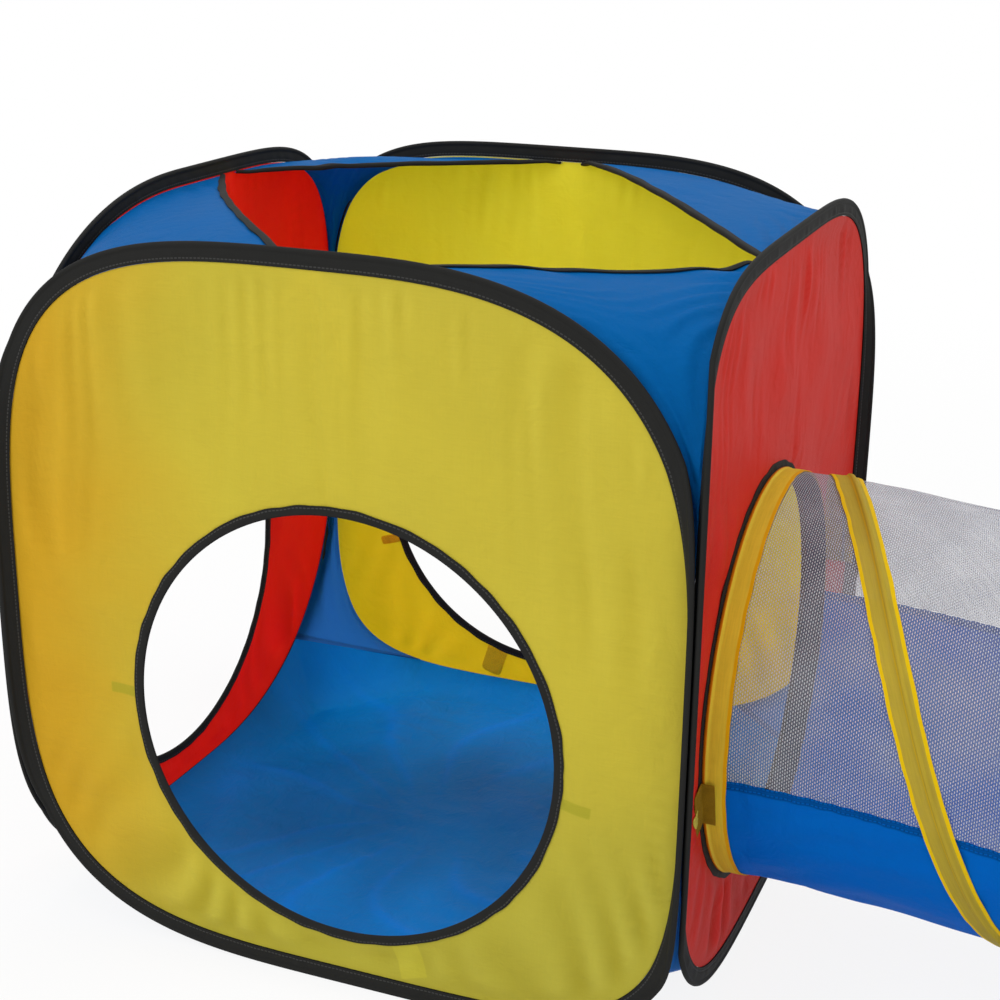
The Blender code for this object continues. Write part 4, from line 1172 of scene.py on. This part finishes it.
def floor_cloth():
    """The floor lies on the ground in soft folds and climbs to the panels' bottom seams along its edge."""
    a, b = np.meshgrid(*2 * [np.linspace(-1, 1, FLOOR_STEPS)], indexing="ij")
    ring = np.maximum(np.maximum(np.abs(a), np.abs(b)), 1e-9)
    sides = floor_edge()
    edge = np.zeros((*a.shape, 3))
    choices = ((-b >= np.abs(a), a), (a > np.abs(b), b), (b >= np.abs(a), -a), (-a > np.abs(b), -b))
    for points, (here, along) in zip(sides, choices):
        share = (along / ring + 1) / 2 * (len(points) - 1)
        for k in range(3):
            value = np.interp(share, np.arange(len(points)), points[:, k])
            edge[..., k] = np.where(here, value, edge[..., k])
    reach = np.hypot(edge[..., 0], edge[..., 1])
    shrink = (reach - FABRIC - GAP) / reach * ring
    inset = np.clip(reach * (1 - ring) / 0.070, 0, 1)
    x, y = edge[..., 0] * shrink, edge[..., 1] * shrink
    rise = FABRIC / 2 + (edge[..., 2] - FABRIC / 2) * (1 - inset) ** 2
    fold = bpy.context.scene.tent_cloth.floor_fold
    long_folds = 0.5 + 0.5 * wave(x + 0.35 * y + 0.06 * drift(x, y, 201, 0.4), 0.19)
    cross_folds = 0.5 + 0.5 * wave(y - 0.5 * x + 0.05 * drift(x, y, 202, 0.35), 0.27)
    height = fold * (0.55 * long_folds ** 2 + 0.45 * cross_folds ** 3) * (0.7 + 0.5 * drift(x, y, 203, 0.30))
    crumple = 0.0010 * (1 + drift(x, y, 204, 0.045)) * (0.5 + 0.5 * drift(x, y, 205, 0.2))
    spoke = np.arctan2(y + 0.02, x + 0.05)
    crease = np.abs(np.sin(6.5 * spoke + 1.3 * drift(x, y, 206, 0.30))) ** 26 * smooth(0.04, 0.16, np.hypot(x, y))
    lift = np.maximum(height + crumple + 0.0016 * crease, 0) * smooth(0.0, 0.30, 1 - ring)
    # Painted shade in the floor's low places, painted highlight on its raised folds and creases
    depth = np.clip(0.2 - 0.5 * crease - 0.35 * height / max(fold, 1e-6), -1, 1) * smooth(0.0, 0.2, 1 - ring)
    grid = np.stack([x, y, rise + lift], axis=-1)
    piece = cloth_sheet("floor_cloth", grid, np.stack([x, y], axis=-1), finish("floor_taffeta"), fold=depth)
    placed(piece, "front", "floor_sheet")
    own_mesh(piece)


def middle_height(x):
    """Height of the tunnel's middle: it comes down from the opening until its tape lies on the ground."""
    low = 0.0005 + COIL_CROWN
    return low + (TUNNEL_OPENING_HEIGHT - low) * (1 - smooth(0, TUNNEL_DROP_LENGTH, x - NET_START))


def tunnel_points(x, turn, radius):
    """Points of the tunnel: turn is the angle from its top towards the near side."""
    return np.stack(np.broadcast_arrays(
        x, TUNNEL_Y - radius * np.sin(turn), middle_height(x) + radius * np.cos(turn)), axis=-1)


def end_ring(end, edge, inward):
    """The tape and the wire of one end ring, with inward 1 or -1 for the way into the tunnel."""
    section, legs = channel(0.0, RING_TAPE - BULB)
    turns = all_round(ROUND_STEPS)
    along = SKIN_MIDDLE * np.linspace(0, 2 * math.pi, len(turns) + 1)
    reach, side = puckered(section, legs, along[:-1], 0.5, 140 + inward, 0.019)
    mouth = edge + inward * RING_TAPE
    ragged = 0.0004 * drift(along[:-1], 0, 142, 0.030)
    rings = np.stack([
        tunnel_points(mouth - inward * (reach[:, j] + ragged * (1 - reach[:, j] / RING_TAPE)), turns,
                      SKIN_MIDDLE + side[:, j])
        for j in range(len(section))], axis=1)
    rings[..., 2] += middle_height(edge + inward * RING_TAPE / 2) - middle_height(rings[..., 0])
    # The face that looks into the tunnel lies below 0 in the tape's flat places, where its dark band is
    across = np.where(section[:, 1] < -SLOT / 2, -section[:, 0] - 0.001, section[:, 0])
    across = np.append(across, across[0])
    piece = swept(f"tunnel_{end}_ring_tape", rings, along, across, finish("ring_tape"))
    placed(piece, f"tunnel_{end}", f"tunnel_{end}_ring_casing")
    bpy.ops.object.select_all(action="DESELECT")
    place = (edge + inward * BULB, TUNNEL_Y, middle_height(edge + inward * RING_TAPE / 2))
    bpy.ops.mesh.primitive_torus_add(
        major_radius=SKIN_MIDDLE, minor_radius=WIRE / 2, major_segments=200, minor_segments=10,
        location=place, rotation=(0, math.pi / 2, 0))
    bpy.ops.object.transform_apply(location=True, rotation=True, scale=True)
    wire = bpy.context.object
    wire.name = f"tunnel_{end}_ring_spring"
    wire.data.uv_layers.active.name = "cut"
    wire.data.shade_smooth()
    wire.data.materials.append(finish("spring_wire"))
    placed(wire, f"tunnel_{end}", f"tunnel_{end}_ring_wire")


def spiral_advance(turns):
    """How far along the spiral is, in turns of full pitch, easing away from each end ring."""
    def eased(amount):
        return np.where(amount < COIL_RAMP, amount * amount / (2 * COIL_RAMP), amount - COIL_RAMP / 2)
    late = 2 * eased(np.float64(COIL_TURNS / 2)) - eased(COIL_TURNS - turns)
    return np.where(turns > COIL_TURNS / 2, late, eased(turns))


def spiral_stations():
    cloth = bpy.context.scene.tent_cloth
    turns = np.linspace(0, COIL_TURNS, round(COIL_TURNS * cloth.turns_steps) + 1)
    first, last = NET_START + COIL_START + COIL_TAPE / 2, NET_END - COIL_START - COIL_TAPE / 2
    x = first + (last - first) * spiral_advance(turns) / spiral_advance(np.float64(COIL_TURNS))
    return x, COIL_TURN + 2 * math.pi * turns


def squash_tunnel(piece):
    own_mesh(piece)


def spiral():
    """The spiral spring in its casing, one unbroken run from ring to ring."""
    x, turn = spiral_stations()
    centre = tunnel_points(x, turn, COIL_CROWN)
    along = run_length(centre)
    near, far, shoulder = -0.0210, 0.0102, WIRE / 2 + GAP
    roof, low, crown = shoulder + TAPE, COIL_FLOOR + TAPE, COIL_CROWN
    section = [
        (near, low - 0.0003), (near * 0.9, low), (near * 0.65, low + 0.0001), (near * 0.4, low + 0.0001),
        (-roof * 1.35, low + 0.0010), (-roof * 0.9, crown - 0.0006), (-roof * 0.45, crown - 0.0001), (0, crown),
        (roof * 0.45, crown - 0.0001), (roof * 0.9, crown - 0.0006), (roof * 1.35, low + 0.0010),
        (far * 0.5, low + 0.0002), (far * 0.7, low + 0.0001), (far * 0.88, low), (far, low - 0.0003),
        (far, COIL_FLOOR), (shoulder, COIL_FLOOR), (shoulder, crown - TAPE),
        (-shoulder, crown - TAPE), (-shoulder, COIL_FLOOR), (near, COIL_FLOOR)]
    amount = bpy.context.scene.tent_cloth.pucker
    columns = []
    for offset, radius in section:
        to_edge = smooth(0.35, 1.0, offset / (near if offset < 0 else far))
        side = 0 if offset < 0 else 1
        gather = wave(along, 0.0125, 2.5 * drift(along, 0, 160 + side, 0.05))
        ragged = 0.0004 * drift(along, 0, 162 + side, 0.03) * to_edge * np.sign(offset)
        lift = amount * 0.35 * (0.5 + 0.5 * gather) * to_edge if radius > COIL_FLOOR + TAPE / 2 else 0.0
        columns.append(tunnel_points(x + offset + ragged, turn, radius + lift))
    across = [offset for offset, radius in section]
    piece = swept("tunnel_spiral_tape", np.stack(columns, axis=1), along, across + across[:1],
                  finish("spiral_tape"), closed=False)
    placed(piece, "tunnel_near", "tunnel_coil_casing")
    squash_tunnel(piece)
    swings = all_round(8)
    wire = np.stack([
        tunnel_points(x, turn, COIL_FLOOR + WIRE / 2 * (1 + math.sin(s))) + np.array([WIRE / 2 * math.cos(s), 0, 0])
        for s in swings], axis=1)
    piece = swept("tunnel_spiral_spring", wire, along, np.linspace(0, 0.0094, 9), finish("spring_wire"), closed=False)
    placed(piece, "tunnel_near", "tunnel_coil_wire")
    squash_tunnel(piece)


def tunnel_wall(name, cad_node, first_turn, last_turn, ripple, cloth, seed):
    """One half of the tunnel's wall, from hem to hem, with the ripples that the spiral's sewing gives it."""
    x, turn = np.meshgrid(np.linspace(NET_START - TUCK, NET_END + TUCK, WALL_STEPS[0]),
                          np.linspace(first_turn, last_turn, WALL_STEPS[1]), indexing="ij")
    arc = SKIN_MIDDLE * turn
    from_hem = np.minimum(arc - arc[0, 0], arc[0, -1] - arc)
    at_hem = np.exp(-from_hem / 0.030)
    ends = smooth(0, 0.02, x - NET_START) * smooth(0, 0.02, NET_END - x)
    gathers = ripple * wave(x + 0.004 * drift(x, arc, seed, 0.05), 0.021) * at_hem
    broad = 1.6 * ripple * drift(x, arc, seed + 1, 0.16)
    long_folds = 1.2 * ripple * wave(arc + 0.3 * x + 0.02 * drift(x, arc, seed + 2, 0.2), 0.06)
    inward = np.maximum((gathers + (broad + long_folds) * smooth(0, 0.02, from_hem) + ripple) * ends, 0)
    grid = tunnel_points(x, turn, SKIN_MIDDLE - inward)
    piece = cloth_sheet(name, grid, np.stack([x, arc], axis=-1), finish(cloth), thickness=TUNNEL_WALL)
    placed(piece, "tunnel_near", cad_node)
    squash_tunnel(piece)


def tie_strap(name, turn):
    """A webbing strap from the near ring's casing up over the panel's tab, with a rounded fold."""
    inner = SKIN_MIDDLE + BULB + GAP
    start = HALF + FABRIC / 2 + GAP + TAB_THICKNESS + GAP + STRAP_THICKNESS / 2
    length = TUNNEL_START + STRAP_SEWN - start
    strap = start_strip(name, start, length, STRAP_WIDTH, inner + STRAP_THICKNESS / 2, far=False)
    bpy.ops.mesh.extrude_region_move(
        TRANSFORM_OT_translate={"value": (0, 0, STRAP_LENGTH + STRAP_THICKNESS / 2)})
    cut_up(((0, 1, 0), -STRAP_WIDTH / 2, STRAP_WIDTH, 6), ((1, 0, 0), start, length, 8),
           ((0, 0, 1), inner + STRAP_THICKNESS, STRAP_LENGTH, 7))
    bpy.ops.object.mode_set(mode="OBJECT")
    lay_flat(strap, lambda point: (point.x - point.z, point.y))
    thicken(strap, STRAP_THICKNESS * 0.92, STRAP_THICKNESS * 0.3)
    turn_outwards()
    strap.data.transform(Matrix.Rotation(turn, 4, "X"))
    strap.data.transform(Matrix.Translation((0, TUNNEL_Y, TUNNEL_OPENING_HEIGHT)))
    dress(strap, "brown_hook_and_loop")
    placed(strap, "tunnel_near", name)


# Stage

def seen_directly(tree):
    """1 for the rays that look straight at the stage, also through a mirror or glass, and 0 for its light."""
    path = node(tree, "ShaderNodeLightPath").outputs
    mirrored = maths(tree, "MAXIMUM", path["Is Glossy Ray"], path["Is Transmission Ray"])
    return maths(tree, "MAXIMUM", mirrored, path["Is Camera Ray"])


def studio_floor():
    """A pale floor that keeps the tent's shadow and turns white further out."""
    bpy.ops.object.select_all(action="DESELECT")
    bpy.ops.mesh.primitive_plane_add(size=14)
    plane = bpy.context.object
    plane.name = "studio_floor"
    made = bpy.data.materials.new("studio_floor_paint")
    made.use_nodes = True
    tree = made.node_tree
    shader = tree.nodes["Principled BSDF"]
    shader.inputs["Base Color"].default_value = (0.86, 0.86, 0.86, 1)
    shader.inputs["Roughness"].default_value = 0.9
    glow = node(tree, "ShaderNodeEmission", {"Color": (1, 1, 1, 1), "Strength": 1.0})
    spot = node(tree, "ShaderNodeTexCoord").outputs["Object"]
    away = node(tree, "ShaderNodeVectorMath", {0: spot}, operation="LENGTH").outputs["Value"]
    share = maths(tree, "MULTIPLY", seen_directly(tree), remap(tree, away, 1.0, 3.2, 0.88, 1.0))
    mix = node(tree, "ShaderNodeMixShader", {0: share, 1: shader.outputs[0], 2: glow.outputs[0]})
    tree.links.new(mix.outputs[0], tree.nodes["Material Output"].inputs["Surface"])
    plane.data.materials.append(made)


def soft_lamp(name, place, target, size, power):
    """A round area lamp that looks at its target."""
    bpy.ops.object.light_add(type="AREA", location=place)
    lamp = bpy.context.object
    lamp.name = name
    lamp.data.shape, lamp.data.size = "DISK", size
    lamp.data.energy = power
    lamp.rotation_euler = (Vector(target) - Vector(place)).to_track_quat("-Z", "Y").to_euler()


def camera():
    """The photograph's view: the camera's place, its angles in radians and its lens, as fitted to the photo."""
    pitch, roll, yaw = 0.332, 0.014, 0.378
    eye = Vector((0.753, -1.813, 1.093))
    ahead = Vector((-math.sin(yaw) * math.cos(pitch), math.cos(yaw) * math.cos(pitch), -math.sin(pitch)))
    level = Vector((math.cos(yaw), math.sin(yaw), 0))
    up = level.cross(ahead)
    right = math.cos(roll) * level + math.sin(roll) * up
    top = math.cos(roll) * up - math.sin(roll) * level
    bpy.ops.object.camera_add(location=eye)
    made = bpy.context.object
    made.name = "camera"
    made.data.sensor_width, made.data.lens = 36.0, 65.21
    made.matrix_world = Matrix.Translation(eye) @ Matrix((right, top, -ahead)).transposed().to_4x4()
    bpy.context.scene.camera = made


def stage():
    """White all round to the camera, and 0.8 of that as light."""
    scene = bpy.context.scene
    scene.view_settings.view_transform = "Standard"
    studio_floor()
    world = bpy.data.worlds.new("studio")
    scene.world = world
    world.use_nodes = True
    tree = world.node_tree
    back = tree.nodes["Background"]
    back.inputs["Color"].default_value = (1, 1, 1, 1)
    tree.links.new(remap(tree, seen_directly(tree), 0.0, 1.0, 0.80, 1.0, "LINEAR"), back.inputs["Strength"])
    soft_lamp("key", (-1.6, -2.6, 2.6), (0.1, 0, 0.3), 1.8, 34)
    soft_lamp("fill", (2.8, -2.4, 1.8), (0.5, -0.2, 0.3), 2.2, 14)
    soft_lamp("top", (0.2, 0.5, 2.8), (0.2, 0, 0.2), 1.8, 20)
    camera()


# The add-on's buttons

class TENT_OT_stage(bpy.types.Operator):
    """Lays the studio floor and sets the lamps and the camera"""
    bl_idname = "tent.stage"
    bl_label = "Stage"

    def execute(self, context):
        stage()
        return {"FINISHED"}


class TENT_OT_panels(bpy.types.Operator):
    """Makes the four upright panels of taffeta"""
    bl_idname = "tent.panels"
    bl_label = "Panels"

    def execute(self, context):
        for panel in PANELS:
            panel_skin(panel)
        return {"FINISHED"}


class TENT_OT_sleeves(bpy.types.Operator):
    """Makes the black sleeves round the panels, with their hoop springs"""
    bl_idname = "tent.sleeves"
    bl_label = "Hoop Sleeves"

    def execute(self, context):
        for panel in PANELS:
            hoop_sleeve(panel)
        return {"FINISHED"}


class TENT_OT_openings(bpy.types.Operator):
    """Makes the black tapes round the crawl openings"""
    bl_idname = "tent.openings"
    bl_label = "Opening Tapes"

    def execute(self, context):
        for panel in PANELS:
            opening_tape(panel)
        return {"FINISHED"}


class TENT_OT_tabs(bpy.types.Operator):
    """Sews the hook-and-loop tabs beside the openings"""
    bl_idname = "tent.tabs"
    bl_label = "Tabs"

    def execute(self, context):
        for panel, facts in PANELS.items():
            three, nine = (math.radians(below) for below in facts["tabs"])
            for place, direction in (("three", -three), ("nine", math.pi + nine)):
                sewn_tab(panel, f"{panel}_tab_at_{place}", direction, TAB_LENGTH, TAB_WIDTH,
                         f"{panel}_tab_{place}_oclock")
        for panel in ("front", "back"):
            sewn_tab(panel, f"{panel}_tab_at_foot", FOOT_TAB_SWING - math.pi / 2, foot_tab_length(),
                     FOOT_TAB_WIDTH, f"{panel}_foot_tab")
        return {"FINISHED"}


class TENT_OT_corners(bpy.types.Operator):
    """Makes the blue corners of the roof and the floor, with the roof's edge tapes"""
    bl_idname = "tent.corners"
    bl_label = "Corners"

    def execute(self, context):
        for corner in NEIGHBOURS:
            roof_corner(*corner)
            roof_edge(*corner)
            floor_corner(*corner)
        return {"FINISHED"}


class TENT_OT_floor(bpy.types.Operator):
    """Lays the blue floor sheet"""
    bl_idname = "tent.floor"
    bl_label = "Floor Sheet"

    def execute(self, context):
        floor_cloth()
        return {"FINISHED"}


class TENT_OT_rings(bpy.types.Operator):
    """Makes the tunnel's two end rings"""
    bl_idname = "tent.rings"
    bl_label = "Tunnel Rings"

    def execute(self, context):
        end_ring("near", TUNNEL_START, 1)
        end_ring("far", TUNNEL_END, -1)
        return {"FINISHED"}


class TENT_OT_spiral(bpy.types.Operator):
    """Winds the tunnel's spiral spring and its casing"""
    bl_idname = "tent.spiral"
    bl_label = "Spiral"

    def execute(self, context):
        spiral()
        return {"FINISHED"}


class TENT_OT_walls(bpy.types.Operator):
    """Makes the tunnel's blue lower half and its netting"""
    bl_idname = "tent.walls"
    bl_label = "Tunnel Walls"

    def execute(self, context):
        hem = GAP / TUNNEL_RADIUS
        tunnel_wall("tunnel_lower_cloth", "tunnel_lower_fabric", HEM_NEAR + hem, HEM_FAR - hem, 0.0009,
                    "tunnel_taffeta", 180)
        tunnel_wall("tunnel_netting", "tunnel_upper_net", HEM_FAR + hem - 2 * math.pi, HEM_NEAR - hem, 0.0007,
                    "white_net", 190)
        return {"FINISHED"}


class TENT_OT_straps(bpy.types.Operator):
    """Makes the two straps that hold the near ring to the panel's tabs"""
    bl_idname = "tent.straps"
    bl_label = "Tie Straps"

    def execute(self, context):
        below_three, below_nine = PANELS["right"]["tabs"]
        tie_strap("tie_strap_near_side", math.radians(90 + below_nine))
        tie_strap("tie_strap_far_side", math.radians(270 - below_three))
        return {"FINISHED"}


OPERATORS = (
    TENT_OT_stage, TENT_OT_panels, TENT_OT_sleeves, TENT_OT_openings, TENT_OT_tabs, TENT_OT_corners,
    TENT_OT_floor, TENT_OT_rings, TENT_OT_spiral, TENT_OT_walls, TENT_OT_straps,
)


class TENT_PT_sidebar(bpy.types.Panel):
    """Lists the tent's colours, its cloth and the pieces to make"""
    bl_idname = "TENT_PT_sidebar"
    bl_label = "Play Tent"
    bl_space_type = "VIEW_3D"
    bl_region_type = "UI"
    bl_category = "Play Tent"

    def draw(self, context):
        for group in (context.scene.tent_colours, context.scene.tent_cloth):
            box = self.layout.box()
            for name in group.bl_rna.properties.keys():
                if name not in ("rna_type", "name"):
                    box.prop(group, name)
        for operator in OPERATORS:
            self.layout.operator(operator.bl_idname)


CLASSES = (TentColours, TentCloth, *OPERATORS, TENT_PT_sidebar)


def register():
    for item in CLASSES:
        bpy.utils.register_class(item)
    bpy.types.Scene.tent_colours = PointerProperty(type=TentColours)
    bpy.types.Scene.tent_cloth = PointerProperty(type=TentCloth)


def unregister():
    del bpy.types.Scene.tent_cloth
    del bpy.types.Scene.tent_colours
    for item in reversed(CLASSES):
        bpy.utils.unregister_class(item)


def main():
    register()
    bpy.ops.tent.stage()
    bpy.ops.tent.panels()
    bpy.ops.tent.sleeves()
    bpy.ops.tent.openings()
    bpy.ops.tent.tabs()
    bpy.ops.tent.corners()
    bpy.ops.tent.floor()
    bpy.ops.tent.rings()
    bpy.ops.tent.spiral()
    bpy.ops.tent.walls()
    bpy.ops.tent.straps()


if __name__ == "__main__":
    main()
